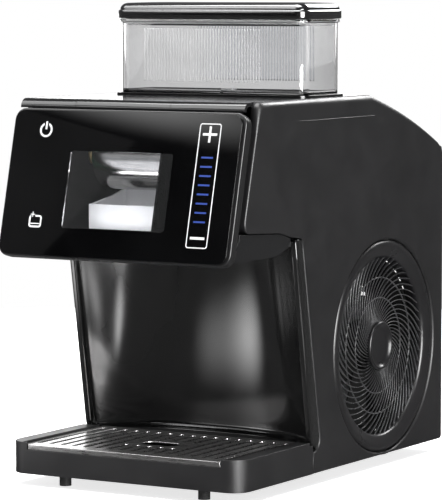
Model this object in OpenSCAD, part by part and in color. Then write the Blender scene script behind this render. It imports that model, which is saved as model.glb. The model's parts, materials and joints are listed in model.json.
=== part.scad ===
// Countertop snow-ice maker: liquid from the tank on top drips onto a chilled drum, a blade shaves
// the frozen film off, and the snow falls through the head into a bowl on the drip tray.
// Working axes: X across the width, Y from the front of the base to the back, Z up from the
// underside of the base. in_frame() then puts the origin on the floor under the centre.

/* [Body] */
// Width over the two side panels
body_w = 270; // [266:1:276]
// Depth of the body, from the front of the base to the back cover
body_d = 431; // [428:1:436]
// Height of the top deck above the underside of the base
body_h = 375; // [374:0.5:376]
// Wall thickness of the moulded shells
wall = 3; // [2.5:0.5:3]
// Height of the feet
foot_h = 12; // [8:1:16]

/* [Head] */
// Lean of the glass panel from the vertical
panel_tilt = 13.8; // [13:0.1:14.5]
// Width of the glass panel
glass_w = 261; // [258:1:262]
// Height of the glass panel along its slope
glass_h = 145.5; // [144:0.5:146]
// Thickness of the glass panel
glass_t = 3; // [2:0.5:3]
// Width of the viewing window
window_w = 118; // [110:1:124]
// Height of the viewing window along the slope
window_h = 77; // [70:1:80]
// Height of the underside of the head above the underside of the base
chin_z = 222.5; // [222:0.5:224]

/* [Bay and drip tray] */
// Height of the front wall of the base
front_wall_h = 24.6; // [24:0.2:25]
// Height of the side rails of the base
rail_h = 32; // [31:0.5:33]
// Length of the base in front of the side panels
base_front_d = 143.5; // [142:0.5:144]
// Lean of the splash panel from the vertical
bay_tilt = 10.6; // [10:0.2:11]
// How far the middle of the splash panel lies behind its side rims, at the deck
bay_depth = 34; // [30:1:38]
// Width of the drip grille
grille_w = 236; // [232:1:236]
// Number of slots in the drip grille
slot_count = 17; // [13:2:17]

/* [Tank] */
// Width of the liquid tank
tank_w = 220; // [216:1:222]
// Front-to-back length of the liquid tank
tank_d = 81.5; // [80:0.5:82]
// Height of the tank wall
tank_h = 77; // [70:1:90]

/* [Freezing drum] */
// Outer radius of the freezing drum
drum_r = 34; // [33:0.5:34]
// Length of the freezing drum
drum_len = 82; // [80:1:82]
// Teeth on the drum gear
gear_teeth = 40; // [40:1:40]
// Teeth on the motor pinion
pinion_teeth = 12; // [12:1:12]

/* [Fan] */
// Outer radius of the round grille on the side
fan_ring_r = 111; // [110:0.5:111]
// Radius of the vaned opening of the grille
fan_open_r = 93; // [92:0.5:94]
// Number of curved vanes
vane_count = 54; // [40:2:60]
// Angle that each vane sweeps through from hub to rim
vane_sweep = 70; // [60:1:80]
// Number of blades on the fan
blade_count = 7; // [5:1:9]

/* [Hidden] */
$fn = 64;

half_w = body_w / 2;
gap = 0.4;
flange = 10;
core_w = half_w - flange - gap;
deck_t = 4;

// Glass panel: its top edge in the working axes.
glass_top_y = 12.5;
glass_top_z = 364;
glass_r = 10;
bezel_w = glass_w + 6;
bezel_top = 2.5;
bezel_bottom = -glass_h - 1.5;
bezel_back = -14;
head_front_y = glass_top_y - glass_h * sin(panel_tilt);
centre_y = (head_front_y + body_d) / 2;

// Side outline.
groove_top_y = 36.3;
groove_foot = [18.1, 259.3];
groove_r = 10;
slope_top_y = 268;
slope_foot = [420, 320.5];
slope_rise = 4.3;
slope_corner_z = 308;
rim_top_z = 238;
rim_edge_y = 120.7;
rim_nose_y = 107.5;
rim_foot = [146, 34];
rim_foot_r = 12;
rim_w = 7;
sheet_half = half_w - rim_w;
bay_power = 3.2;
deck_z = 29;

// Chin.
chin_half = half_w - 1;
chin_tuck = 6;
chin_side_z = 249;

// Tank and its seat.
tank_z = body_h + 1;
tank_front_y = 166.7;
tank_y = tank_front_y + tank_d / 2;
tank_top = tank_z + tank_h;
tank_wall = 3;
lid_band_h = 9;
lid_top_h = 8;
lid_overhang = 2.5;
nozzle_r = 9;
nozzle_z = 367;
stem_r = 2;
spring_foot_z = 359;
pin_tip_z = 356.6;

// Freezing drum and its drive.
drum_y = 66;
drum_z = 318;
drum_x0 = -54;
shaft_r = 6;
chamber_x0 = -76;
chamber_x1 = 34;
chamber_t = 2.5;
chamber_back = 112;
chamber_floor = 240;
chamber_top = 350;
gear_module = 1.5;
gear_x = 42;
gear_w = 8;
pinion_y = drum_y + gear_module * (gear_teeth + pinion_teeth) / 2;
pinion_shaft_r = 3;
spout_x0 = -47.5;
spout_x1 = 19.5;
spout_y0 = 36.5;
spout_y1 = 89.5;

// Fan and cooling compartment.
fan_y = 299;
fan_z = 113.5;
hub_r = 25;
shelf_z = 248;
bulkhead_y = 203;
compressor_at = [-62, 318];
compressor_r = 52;

// Flap in the top deck.
flap_x0 = -64;
flap_x1 = 45;
flap_y = 116;
flap_z = body_h - deck_t / 2;
lip_r = 9;
lip_y = 26;

foot_r = 6;
foot_places = [[-81, 22], [81, 22], [-80, 400], [80, 400]];

// ---------- helpers ----------

module in_frame() {
    translate([0, -centre_y, foot_h])
        children();
}

// Box from its lowest and highest corners.
module block(low, high) {
    translate(low)
        cube(high - low);
}

// Round bar along X.
module bar_x(x0, x1, r, y, z) {
    translate([x0, y, z])
        rotate([0, 90, 0])
            cylinder(r = r, h = x1 - x0);
}

// Outline in (Y, Z) drawn out along X.
module side_extrude(x0, x1) {
    translate([x0, 0, 0])
        rotate([90, 0, 90])
            linear_extrude(x1 - x0)
                children();
}

// Axes on the glass: X across, Y up the slope from the top edge, Z out of the glass.
module on_panel() {
    translate([0, glass_top_y, glass_top_z])
        rotate([90 - panel_tilt, 0, 0])
            children();
}

// Axes on the right side: X backwards, Y up, Z outwards, from the centre of the fan.
module on_side(x) {
    translate([x, fan_y, fan_z])
        rotate([90, 0, 90])
            children();
}

function arc(c, r, a0, a1, n) = [for (i = [0:n]) let (a = a0 + (a1 - a0) * i / n) c + r * [cos(a), sin(a)]];

// Shallow arc from p to q that stands proud of the chord by rise.
function bow(p, q, rise, n) = [
    for (i = [0:n])
        let (t = i / n, d = q - p, side = [-d[1], d[0]] / norm(d))
            p + d * t + side * rise * 4 * t * (1 - t)
];

function rounded(x0, x1, y0, y1, r, n = 8) = concat(
    arc([x1 - r, y0 + r], r, -90, 0, n),
    arc([x1 - r, y1 - r], r, 0, 90, n),
    arc([x0 + r, y1 - r], r, 90, 180, n),
    arc([x0 + r, y0 + r], r, 180, 270, n)
);

module rounded_block(x0, x1, y0, y1, r, z0, z1) {
    translate([0, 0, z0])
        linear_extrude(z1 - z0)
            polygon(rounded(x0, x1, y0, y1, r));
}

// Y of the plane that lies w in front of the glass, at height z.
function panel_y(z, w = 0) = glass_top_y - (glass_top_z - z) * tan(panel_tilt) - w / cos(panel_tilt);

// Front edge of a bay rim at height z.
function rim_y(z) = rim_nose_y + (rim_top_z - z) * tan(bay_tilt);

// Front face of the splash panel: it follows the leaning rims at the sides, and is upright in the middle.
function bay_y(x, z) = rim_y(z) + 3
    + (rim_y(deck_z) + bay_depth - rim_y(z)) * (1 - pow(min(1, abs(x) / sheet_half), bay_power));

// Round tube that follows a list of points.
module swept_tube(route, r, sides = 8) {
    n = len(route);
    function heading(i) =
        let (a = route[max(0, i - 1)], b = route[min(n - 1, i + 1)])
            (b - a) / norm(b - a);
    function across(d) =
        let (c = abs(d[2]) < 0.9 ? cross(d, [0, 0, 1]) : cross(d, [0, 1, 0]))
            c / norm(c);
    rings = [
        for (i = [0:n - 1])
            let (d = heading(i), u = across(d), v = cross(d, u))
                for (k = [0:sides - 1])
                    route[i] + r * (u * cos(360 * k / sides) + v * sin(360 * k / sides))
    ];
    side_faces = [
        for (i = [0:n - 2])
            for (k = [0:sides - 1])
                let (a = i * sides + k, b = i * sides + (k + 1) % sides)
                    [a, a + sides, b + sides, b]
    ];
    first_cap = [for (k = [0:sides - 1]) k];
    last_cap = [for (k = [sides - 1:-1:0]) (n - 1) * sides + k];
    polyhedron(rings, concat(side_faces, [first_cap, last_cap]), convexity = 6);
}

// Spur gear outline with straight-sided teeth and a little backlash.
module gear_outline(teeth) {
    pitch_r = gear_module * teeth / 2;
    tip_r = pitch_r + gear_module * 0.9;
    root_r = pitch_r - gear_module * 1.2;
    step = 360 / teeth;
    polygon([
        for (i = [0:teeth - 1])
            for (corner = [[root_r, -0.34], [tip_r, -0.12], [tip_r, 0.12], [root_r, 0.34]])
                corner[0] * [cos((i + corner[1]) * step), sin((i + corner[1]) * step)]
    ]);
}

// ---------- outer shell ----------

module side_outline() {
    polygon(concat(
        [[base_front_d + gap, 0]],
        arc([body_d - 4, 4], 4, -90, 0, 4),
        [[body_d, slope_corner_z]],
        bow([body_d - 2.5, slope_corner_z + 8], slope_foot, 0.8, 2),
        bow(slope_foot, [slope_top_y, body_h], -slope_rise, 10),
        arc([groove_top_y + 8, body_h - 8], 8, 90, 166, 5),
        arc(groove_foot, groove_r, 180 - panel_tilt, 268, 6),
        [[77, 246], [96, 241.5], [rim_edge_y, rim_top_z]],
        arc(rim_foot, rim_foot_r, 10, -90, 6),
        [[base_front_d + gap, rim_foot[1] - rim_foot_r]]
    ));
}

// Moulded panel: a flat wall with a flange that runs round its edge.
module side_panel() {
    difference() {
        side_extrude(half_w - flange, half_w)
            side_outline();
        side_extrude(half_w - flange - 1, half_w - wall)
            offset(delta = -wall)
                side_outline();
    }
}

module left_side_panel() {
    color([0.17, 0.165, 0.175])
        in_frame()
            mirror([1, 0, 0])
                side_panel();
}

module right_side_panel() {
    color([0.17, 0.165, 0.175])
        in_frame()
            difference() {
                side_panel();
                on_side(half_w - flange - 1)
                    cylinder(r = fan_ring_r + 0.2, h = flange + 2, $fn = 96);
            }
}

// Inside line of the back cover, one wall in from the outside line.
module rear_outline(inset) {
    corner = [body_d - 2.5 - inset, slope_corner_z + 8 - inset / 2];
    foot = slope_foot - inset * [0.4, 0.9];
    top = [slope_top_y + gap - inset * 0.1, body_h - inset];
    polygon(concat(
        [[body_d - inset, 4], [body_d - inset, slope_corner_z]],
        bow(corner, foot, 0.8, 2),
        bow(foot, top, -slope_rise, 10),
        [[slope_top_y + gap, body_h - inset - 2], [slope_top_y + gap, 4]]
    ));
}

vent_rows = 12;
vent_pitch = 9;
inlet_at = [-70, 62];
inlet_size = [28, 21];
switch_at = [-70, 104];
switch_size = [22, 30];

module rear_cover() {
    color([0.13, 0.13, 0.14])
        in_frame()
            difference() {
                side_extrude(-core_w, core_w)
                    difference() {
                        rear_outline(0);
                        rear_outline(wall);
                        polygon([
                            [slope_top_y, 0], [body_d - wall, 0], [body_d - wall, 20], [slope_top_y, 350]
                        ]);
                    }
                for (i = [0:vent_rows - 1], side = [-1, 1])
                    translate([side * 52 - 38, body_d - wall - 1, 150 + i * vent_pitch])
                        cube([76, wall + 2, 4]);
                for (p = screw_places)
                    translate([p[0], body_d + 1, p[1]])
                        rotate([90, 0, 0])
                            cylinder(r = screw_head_r, h = wall + 2);
                for (hole = [[inlet_at, inlet_size], [switch_at, switch_size]])
                    translate([hole[0][0] - hole[1][0] / 2, body_d - wall - 1, hole[0][1] - hole[1][1] / 2])
                        cube([hole[1][0], wall + 2, hole[1][1]]);
            }
}

// Rounded front lip of the deck, drawn out along X.
module front_lip(x0, x1) {
    side_extrude(x0, x1)
        polygon(concat(
            arc([lip_y, body_h - lip_r], lip_r, 180, 90, 6),
            [[lip_y + 8, body_h], [lip_y + 8, body_h - deck_t]],
            arc([lip_y, body_h - lip_r], lip_r - deck_t, 90, 180, 6)
        ));
}

module top_cover() {
    lip_half = half_w - 6;
    color([0.1, 0.1, 0.105])
        in_frame()
            difference() {
                union() {
                    front_lip(-lip_half, lip_half);
                    block([-core_w, lip_y + 7, body_h - deck_t], [core_w, slope_top_y, body_h]);
                }
                block([flap_x0 - gap, 0, body_h - 30], [flap_x1 + gap, flap_y + 2.4, body_h + 1]);
                rounded_block(-tank_w / 2 - 4, tank_w / 2 + 4, tank_front_y - 4,
                    tank_front_y + tank_d + 4, 12, body_h - deck_t - 1, body_h + 1);
                bar_x(flap_x0 - 8, flap_x1 + 8, 1, flap_y, flap_z);
            }
}

module top_flap() {
    color([0.1, 0.1, 0.105])
        in_frame()
            difference() {
                union() {
                    front_lip(flap_x0, flap_x1);
                    block([flap_x0, lip_y + 7, body_h - deck_t], [flap_x1, flap_y, body_h]);
                    bar_x(flap_x0, flap_x1, deck_t / 2, flap_y, flap_z);
                }
                bar_x(flap_x0 - 1, flap_x1 + 1, 1.06, flap_y, flap_z);
            }
}

module flap_hinge_pin() {
    color("silver")
        in_frame()
            bar_x(flap_x0 - 7.5, flap_x1 + 7.5, 1, flap_y, flap_z);
}

// ---------- head ----------

module chin_outline(inset) {
    z0 = chin_z + inset;
    front = bezel_back - gap;
    polygon(concat(
        [[panel_y(250, front) - inset * 4, 250 + inset], [panel_y(z0, front) - inset * 4, z0]],
        arc([68, chin_z + 72], 72 - inset, -90, -62, 6),
        inset > 0 ? [] : [[104.7, 232.5]],
        [[100 - inset, 239.2]],
        [[93, 241.6 + inset], [77, 245.4 + inset]],
        [[groove_foot[0], chin_side_z - gap + inset], [6, 249.4 + inset]]
    ));
}

module chin_shell() {
    color([0.09, 0.09, 0.095])
        in_frame() {
            difference() {
                intersection() {
                    side_extrude(-chin_half, chin_half)
                        chin_outline(0);
                    rotate([90, 0, 0])
                        translate([0, 0, -200])
                            linear_extrude(300)
                                polygon([
                                    [-chin_half, 260], [-chin_half, 244],
                                    [-chin_half + chin_tuck, chin_z - 1], [chin_half - chin_tuck, chin_z - 1],
                                    [chin_half, 244], [chin_half, 260]
                                ]);
                }
                side_extrude(-chin_half + chin_tuck + wall, chin_half - chin_tuck - wall)
                    chin_outline(wall);
                spout_hole(chin_z - 1, chin_z + 9);
                block([-core_w, 60, chamber_floor - chamber_t - gap], [core_w, 120, 260]);
            }
            // Ceiling of the bay, from the back of the chin to the splash panel.
            translate([0, 0, 233])
                linear_extrude(3)
                    polygon(concat(
                        [[-sheet_half + 6, 101], [sheet_half - 6, 101]],
                        [for (i = [10:-1:-10]) let (x = i / 10 * (sheet_half - 8))
                            [x, bay_y(x, 236) - 4.2]]
                    ));
        }
}

// Room for the outlet spout in the floors that it passes through.
module spout_hole(z0, z1) {
    block([spout_x0 - gap, spout_y0 - gap, z0], [spout_x1 + gap, spout_y1 + gap, z1]);
}

module panel_ring(half_u, low, high, t, r, z0, z1) {
    difference() {
        rounded_block(-half_u, half_u, low, high, r, z0, z1);
        rounded_block(-half_u + t, half_u - t, low + t, high - t, max(1, r - t), z0 - 1, z1 + 1);
    }
}

module head_frame() {
    color([0.06, 0.06, 0.065])
        in_frame()
            on_panel()
                panel_ring(core_w, -132, -1, 4, 8, bezel_back * 2, bezel_back - 0.2);
}

module bezel_frame() {
    color([0.12, 0.12, 0.125])
        in_frame()
            on_panel()
                panel_ring(bezel_w / 2, bezel_bottom, bezel_top, 8, 12, bezel_back, -glass_t);
}

window_u = -1;
window_v = -78.5;

module window_cut(z0, z1) {
    rounded_block(window_u - window_w / 2, window_u + window_w / 2,
        window_v - window_h / 2, window_v + window_h / 2, 3, z0, z1);
}

module glass_panel() {
    color([0.02, 0.02, 0.02])
        in_frame()
            on_panel()
                difference() {
                    rounded_block(-glass_w / 2, glass_w / 2, -glass_h, 0, glass_r, -glass_t, 0);
                    window_cut(-glass_t - 1, 1);
                }
}

module viewing_window() {
    color([0.6, 0.62, 0.65, 0.3])
        in_frame()
            on_panel()
                window_cut(-glass_t, 0);
}

board_z0 = -glass_t - 2.8;
board_z1 = -glass_t - 0.2;

module touch_boards() {
    color([0.05, 0.25, 0.12])
        in_frame()
            on_panel() {
                for (u = [[80, 113], [-113, -72]])
                    rounded_block(u[0], u[1], -137, -8, 2, board_z0, board_z1);
                for (v = [-120:20:-20])
                    block([88, v, board_z0 - 2], [98, v + 8, board_z0]);
                for (v = [-118, -28])
                    block([-98, v, board_z0 - 2], [-84, v + 8, board_z0]);
            }
}

// Printed marks stand a hair proud of the glass.
mark_t = 0.25;
start_at = [-92.4, -20];
clean_at = [-91.5, -111];
slider_u = 96.3;

// Ring with a gap and a bar: the start key.
module start_mark() {
    ring_r = 7.4;
    stroke = 2.1;
    difference() {
        cylinder(r = ring_r, h = mark_t);
        translate([0, 0, -1])
            cylinder(r = ring_r - stroke, h = mark_t + 2);
        translate([-2.8, 0, -1])
            cube([5.6, 10, mark_t + 2]);
    }
    translate([-stroke / 2, 0.6, 0])
        cube([stroke, 8, mark_t]);
}

// Cup with a twinkle: the rinse key.
module clean_mark() {
    difference() {
        rounded_block(-7.4, 7.4, -7, 5.4, 3, 0, mark_t);
        rounded_block(-5.7, 5.7, -5.2, 3.7, 1.6, -1, mark_t + 1);
        block([-5.4, 2, -1], [-0.4, 7, mark_t + 1]);
    }
    block([-4, 3.4, 0], [-3.2, 8.6, mark_t]);
    block([-6.2, 5.6, 0], [-1, 6.4, mark_t]);
    block([-5.2, -3.6, 0], [5.2, -2.6, mark_t]);
}

module key_icons() {
    color("white")
        in_frame()
            on_panel() {
                translate(start_at)
                    start_mark();
                translate(clean_at)
                    clean_mark();
            }
}

module speed_slider() {
    arm = 8;
    bar = 1.2;
    color("white")
        in_frame()
            on_panel() {
                difference() {
                    rounded_block(slider_u - 12, slider_u + 12, -131, -9.3, 2.6, 0, mark_t);
                    rounded_block(slider_u - 11, slider_u + 11, -130, -10.3, 1.8, -1, mark_t + 1);
                }
                block([slider_u - arm, -20 - bar, 0], [slider_u + arm, -20 + bar, mark_t]);
                block([slider_u - bar, -20 - arm, 0], [slider_u + bar, -20 + arm, mark_t]);
                block([slider_u - arm, -121.2 - bar, 0], [slider_u + arm, -121.2 + bar, mark_t]);
            }
}

module led_bars() {
    bar_count = 8;
    bar_pitch = 8.97;
    color([0.16, 0.25, 0.7])
        in_frame()
            on_panel()
                for (i = [0:bar_count - 1])
                    translate([slider_u - 6.4, -42.7 - i * bar_pitch - 0.85, 0])
                        cube([12.8, 1.7, mark_t]);
}

// ---------- bay, base and drip tray ----------

module splash_panel() {
    sheet_t = 3;
    cols = 36;
    rows = 6;
    back = (cols + 1) * (rows + 1);
    function at(i, k) = k * (cols + 1) + i;
    function split(a, b, c, d) = [[a, c, b], [a, d, c]];
    function sheet_point(i, k, t) =
        let (x = (i / cols * 2 - 1) * (sheet_half + 1), z = deck_z + (rim_top_z - gap - deck_z) * k / rows)
            [x, bay_y(x, z) + t, z];
    color([0.04, 0.04, 0.042])
        in_frame() {
            polyhedron(
                concat(
                    [for (k = [0:rows]) for (i = [0:cols]) sheet_point(i, k, 0)],
                    [for (k = [0:rows]) for (i = [0:cols]) sheet_point(i, k, sheet_t)]
                ),
                concat(
                    [for (k = [0:rows - 1]) for (i = [0:cols - 1])
                        each split(at(i, k), at(i + 1, k), at(i + 1, k + 1), at(i, k + 1))],
                    [for (k = [0:rows - 1]) for (i = [0:cols - 1])
                        each split(back + at(i, k + 1), back + at(i + 1, k + 1), back + at(i + 1, k),
                            back + at(i, k))],
                    [for (i = [0:cols - 1])
                        each split(at(i + 1, 0), at(i, 0), back + at(i, 0), back + at(i + 1, 0))],
                    [for (i = [0:cols - 1])
                        each split(at(i, rows), at(i + 1, rows), back + at(i + 1, rows), back + at(i, rows))],
                    [for (k = [0:rows - 1])
                        each split(at(0, k), at(0, k + 1), back + at(0, k + 1), back + at(0, k))],
                    [for (k = [0:rows - 1])
                        each split(at(cols, k + 1), at(cols, k), back + at(cols, k), back + at(cols, k + 1))]
                )
            );
            for (side = [0, 1])
                mirror([side, 0, 0])
                    side_extrude(sheet_half, half_w)
                        polygon(concat(
                            [[rim_y(rim_top_z) + 2, rim_top_z - gap], [rim_y(rim_top_z), rim_top_z - 4]],
                            arc([rim_foot[0] + 6.5, rim_foot[1] + 3], rim_foot_r, 190, 235, 3),
                            [[rim_foot[0] + 1, rim_foot[1] - 4]],
                            arc(rim_foot - [gap, 0], rim_foot_r - gap, -60, 10, 5),
                            [[rim_edge_y - gap, rim_top_z - gap]]
                        ));
        }
}

module tray_housing() {
    corner_r = 19;
    back_y = 200;
    tub_half = grille_w / 2 + 0.6;
    tub_back = 151;
    ledge_z = front_wall_h;
    color([0.15, 0.15, 0.155])
        in_frame()
            difference() {
                union() {
                    intersection() {
                        rounded_block(-half_w, half_w, 0, 2 * base_front_d, corner_r, 0, rail_h);
                        block([-half_w, 0, 0], [half_w, base_front_d, rail_h]);
                    }
                    block([-core_w, base_front_d - 1, 0], [core_w, back_y, deck_z - gap]);
                }
                // Tub for the drip tray, and the low front wall under the grille's edge.
                block([-tub_half + 4, 3, wall], [tub_half - 4, tub_back - 3, rail_h + 1]);
                block([-tub_half, 2, ledge_z], [tub_half, tub_back, rail_h + 1]);
                block([-tub_half + 6, -1, ledge_z], [tub_half - 6, 3, rail_h + 1]);
                // Hollow under the deck behind the tub.
                block([-core_w + 3, tub_back, wall], [core_w - 3, back_y - 3, deck_z - gap - 3]);
                // The rims of the splash panel stand on the rails.
                block([-half_w - 1, rim_y(rail_h + 6) - 8, deck_z - gap], [-tub_half - 1, 260, rail_h + 1]);
                block([tub_half + 1, rim_y(rail_h + 6) - 8, deck_z - gap], [half_w + 1, 260, rail_h + 1]);
                for (p = foot_places)
                    translate([p[0], p[1], -1])
                        cylinder(r = 2.1, h = wall + 2);
            }
}

module drip_tray() {
    half = grille_w / 2 - 4.2;
    color([0.08, 0.08, 0.085])
        in_frame()
            difference() {
                rounded_block(-half, half, 4, 147, 4, 5.6, front_wall_h - 0.2);
                rounded_block(-half + 2, half - 2, 6, 145, 3, 7.6, front_wall_h + 1);
            }
}

// Slotted steel plate that rests on the ledge of the tub.
module drip_grille() {
    half = grille_w / 2;
    z0 = front_wall_h + 0.1;
    z1 = z0 + 5;
    slot_w = 5;
    slot_pitch = 13.6;
    slot_y0 = 16;
    slot_y1 = 138;
    hole_half = 21;
    hole_y0 = 62;
    hole_y1 = 84;
    split_runs = [[slot_y0, hole_y0 - 8], [hole_y1 + 8, slot_y1]];
    color([0.35, 0.35, 0.37])
        in_frame()
            difference() {
                union() {
                    block([-half, 3.2, z0], [half, 150.4, z1]);
                    block([-half + 6.6, 0.4, z0], [half - 6.6, 3.2, z1]);
                }
                // Hollow under the plate, inside its turned-down edge.
                block([-half + 4, 5, z0 - 1], [half - 4, 147, z1 - 1.5]);
                for (i = [-(slot_count - 1) / 2:(slot_count - 1) / 2])
                    let (x = i * slot_pitch, whole = [[slot_y0, slot_y1]])
                        for (run = abs(x) < hole_half + 8 ? split_runs : whole)
                            rounded_block(x - slot_w / 2, x + slot_w / 2, run[0], run[1], slot_w / 2 - 0.01,
                                z1 - 4, z1 + 1);
                rounded_block(-hole_half, hole_half, hole_y0, hole_y1, 10, z1 - 4, z1 + 1);
            }
}

module base_plate() {
    color([0.45, 0.45, 0.47])
        in_frame()
            difference() {
                block([-core_w, 200.4, 0.4], [core_w, body_d - wall - 0.4, wall]);
                for (p = foot_places)
                    translate([p[0], p[1], -1])
                        cylinder(r = 2.1, h = wall + 2);
                for (i = [0:7])
                    block([-40 + i * 12, 250, -1], [-34 + i * 12, 290, wall + 1]);
            }
}

module feet() {
    color([0.05, 0.05, 0.05])
        in_frame()
            for (p = foot_places)
                translate([p[0], p[1], -foot_h])
                    difference() {
                        cylinder(r = foot_r, h = foot_h + (p[1] > 200 ? 0.4 : 0));
                        translate([0, 0, 3])
                            cylinder(r = 2, h = foot_h);
                    }
}

module foot_screws() {
    color("silver")
        in_frame()
            for (p = foot_places)
                translate([p[0], p[1], -foot_h + 4]) {
                    cylinder(r = 2, h = foot_h - 4 + wall);
                    translate([0, 0, foot_h - 4 + wall])
                        cylinder(r = 4, h = 1.8);
                }
}

module chassis_frame() {
    t = 2;
    color([0.6, 0.6, 0.62])
        in_frame()
            difference() {
                side_extrude(-core_w + 2, core_w - 2)
                    polygon([
                        [bulkhead_y, wall], [bulkhead_y + t, wall], [bulkhead_y + t, shelf_z],
                        [424, shelf_z], [424, shelf_z + t], [bulkhead_y, shelf_z + t]
                    ]);
                for (x = [-90, -30])
                    translate([x, 236, shelf_z - 1])
                        cylinder(r = 7, h = t + 2);
            }
}

screw_places = [for (x = [-1, 1], z = [30, 190, 300]) [x * 114, z]];
screw_head_r = 3.4;

module panel_screws() {
    color("silver")
        in_frame()
            for (p = screw_places)
                translate([p[0], body_d - 0.3, p[1]])
                    rotate([90, 0, 0]) {
                        cylinder(r = screw_head_r, h = wall - 0.6);
                        cylinder(r = 1.5, h = 11);
                    }
}

// ---------- tank and liquid feed ----------

module tank() {
    x1 = tank_w / 2;
    y0 = tank_front_y;
    y1 = tank_front_y + tank_d;
    color([0.8, 0.82, 0.84, 0.35])
        in_frame()
            difference() {
                union() {
                    rounded_block(-x1, x1, y0, y1, 10, tank_z, tank_top);
                    rounded_block(-x1 - 2, x1 + 2, y0 - 2, y1 + 2, 12, tank_top - 3, tank_top);
                    translate([0, tank_y, nozzle_z])
                        cylinder(r = nozzle_r, h = tank_z - nozzle_z + 1);
                }
                rounded_block(-x1 + tank_wall, x1 - tank_wall, y0 + tank_wall, y1 - tank_wall, 7,
                    tank_z + tank_wall, tank_top + 1);
                translate([0, tank_y, nozzle_z - 1])
                    cylinder(r = 5, h = 20);
            }
}

module tank_lid() {
    x1 = tank_w / 2 + lid_overhang;
    y0 = tank_front_y - lid_overhang;
    y1 = tank_front_y + tank_d + lid_overhang;
    z0 = tank_top + 0.4;
    z1 = z0 + lid_band_h - 0.4;
    z2 = z1 + lid_top_h;
    plug = tank_w / 2 - tank_wall - 0.8;
    color([0.08, 0.08, 0.085])
        in_frame()
            difference() {
                union() {
                    rounded_block(-x1, x1, y0, y1, 12, z0, z1);
                    rounded_block(-x1 + 1, x1 - 1, y0 + 1, y1 - 1, 11, z1 - 1, z2);
                    rounded_block(-plug, plug, tank_front_y + tank_wall + 0.8,
                        tank_front_y + tank_d - tank_wall - 0.8, 6, z0 - 7, z0 + 1);
                }
                rounded_block(-plug + 3, plug - 3, tank_front_y + tank_wall + 3.8,
                    tank_front_y + tank_d - tank_wall - 3.8, 4, z0 - 8, z2 - 3);
            }
}

module lid_seal() {
    plug = tank_w / 2 - tank_wall - 0.8;
    y0 = tank_front_y + tank_wall + 0.8;
    y1 = tank_front_y + tank_d - tank_wall - 0.8;
    z = tank_top + 0.4 - 5;
    color([0.75, 0.75, 0.76])
        in_frame()
            difference() {
                rounded_block(-plug - 0.4, plug + 0.4, y0 - 0.4, y1 + 0.4, 6.4, z, z + 3);
                rounded_block(-plug, plug, y0, y1, 6, z - 1, z + 4);
            }
}

module tank_valve() {
    color([0.85, 0.85, 0.86])
        in_frame()
            translate([0, tank_y, 0]) {
                translate([0, 0, spring_foot_z - 2])
                    cylinder(r = stem_r, h = tank_z + tank_wall + 0.3 - spring_foot_z + 3);
                translate([0, 0, tank_z + tank_wall + 0.3])
                    cylinder(r = 8, h = 2.5);
                translate([0, 0, spring_foot_z - 1.5])
                    cylinder(r = 4.2, h = 1.5);
            }
}

module valve_spring() {
    coils = 4;
    per_turn = 12;
    wire = 0.4;
    coil_r = 3.3;
    z0 = spring_foot_z + wire;
    z1 = nozzle_z - wire - 0.05;
    steps = coils * per_turn;
    color("silver")
        in_frame()
            translate([0, tank_y, 0])
                swept_tube([
                    for (i = [0:steps])
                        let (a = 360 * i / per_turn)
                            [coil_r * cos(a), coil_r * sin(a), z0 + (z1 - z0) * i / steps]
                ], wire, 6);
}

module tank_seat() {
    x1 = tank_w / 2;
    y0 = tank_front_y;
    y1 = tank_front_y + tank_d;
    color([0.07, 0.07, 0.075])
        in_frame()
            difference() {
                rounded_block(-x1 - 3.8, x1 + 3.8, y0 - 3.8, y1 + 3.8, 11.8, body_h - deck_t, body_h + 2);
                rounded_block(-x1 - 0.8, x1 + 0.8, y0 - 0.8, y1 + 0.8, 10.8, body_h + 0.4, body_h + 3);
                translate([0, tank_y, body_h - deck_t - 1])
                    cylinder(r = nozzle_r + 1.5, h = 10);
            }
}

cup_r = 15;
cup_floor = 346;
cup_top = body_h - deck_t;

module feed_cup() {
    color([0.85, 0.85, 0.86])
        in_frame()
            difference() {
                union() {
                    translate([0, tank_y, cup_floor])
                        cylinder(r = cup_r, h = cup_top - cup_floor);
                    translate([0, tank_y, cup_floor + 6])
                        rotate([90, 0, 0])
                            cylinder(r = 5, h = cup_r + 10);
                }
                translate([0, tank_y, cup_floor + 2])
                    cylinder(r = cup_r - 2.5, h = 40);
                translate([0, tank_y, cup_floor + 6])
                    rotate([90, 0, 0])
                        cylinder(r = 3, h = cup_r + 11);
                translate([0, tank_y, cup_floor - 1])
                    cylinder(r = 1.56, h = 10);
            }
}

module valve_solenoid() {
    color([0.55, 0.35, 0.15])
        in_frame()
            translate([0, tank_y, 0])
                difference() {
                    union() {
                        translate([0, 0, 312])
                            cylinder(r = 12, h = cup_floor - 312);
                        translate([-15, -15, 316])
                            cube([30, 30, 22]);
                    }
                    translate([0, 0, 320])
                        cylinder(r = 4.06, h = 40);
                }
}

module solenoid_pin() {
    color("silver")
        in_frame()
            translate([0, tank_y, 0]) {
                translate([0, 0, 322])
                    cylinder(r = 4, h = 18);
                translate([0, 0, 339])
                    cylinder(r = 1.5, h = pin_tip_z - 339);
            }
}

tube_route = [
    [0, 181.5, 352], [0, 176, 352], [0, 168, 351.9], [0, 158, 351.5], [-1, 148, 351], [-4, 138, 350.2],
    [-8, 129, 349.2], [-11, 121, 348], [-12, 114, 347], [-12, 106, 346.3], [-12, 98, 346]
];

module feed_tube() {
    color([0.8, 0.82, 0.84, 0.5])
        in_frame()
            swept_tube(tube_route, 4, 12);
}

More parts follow.
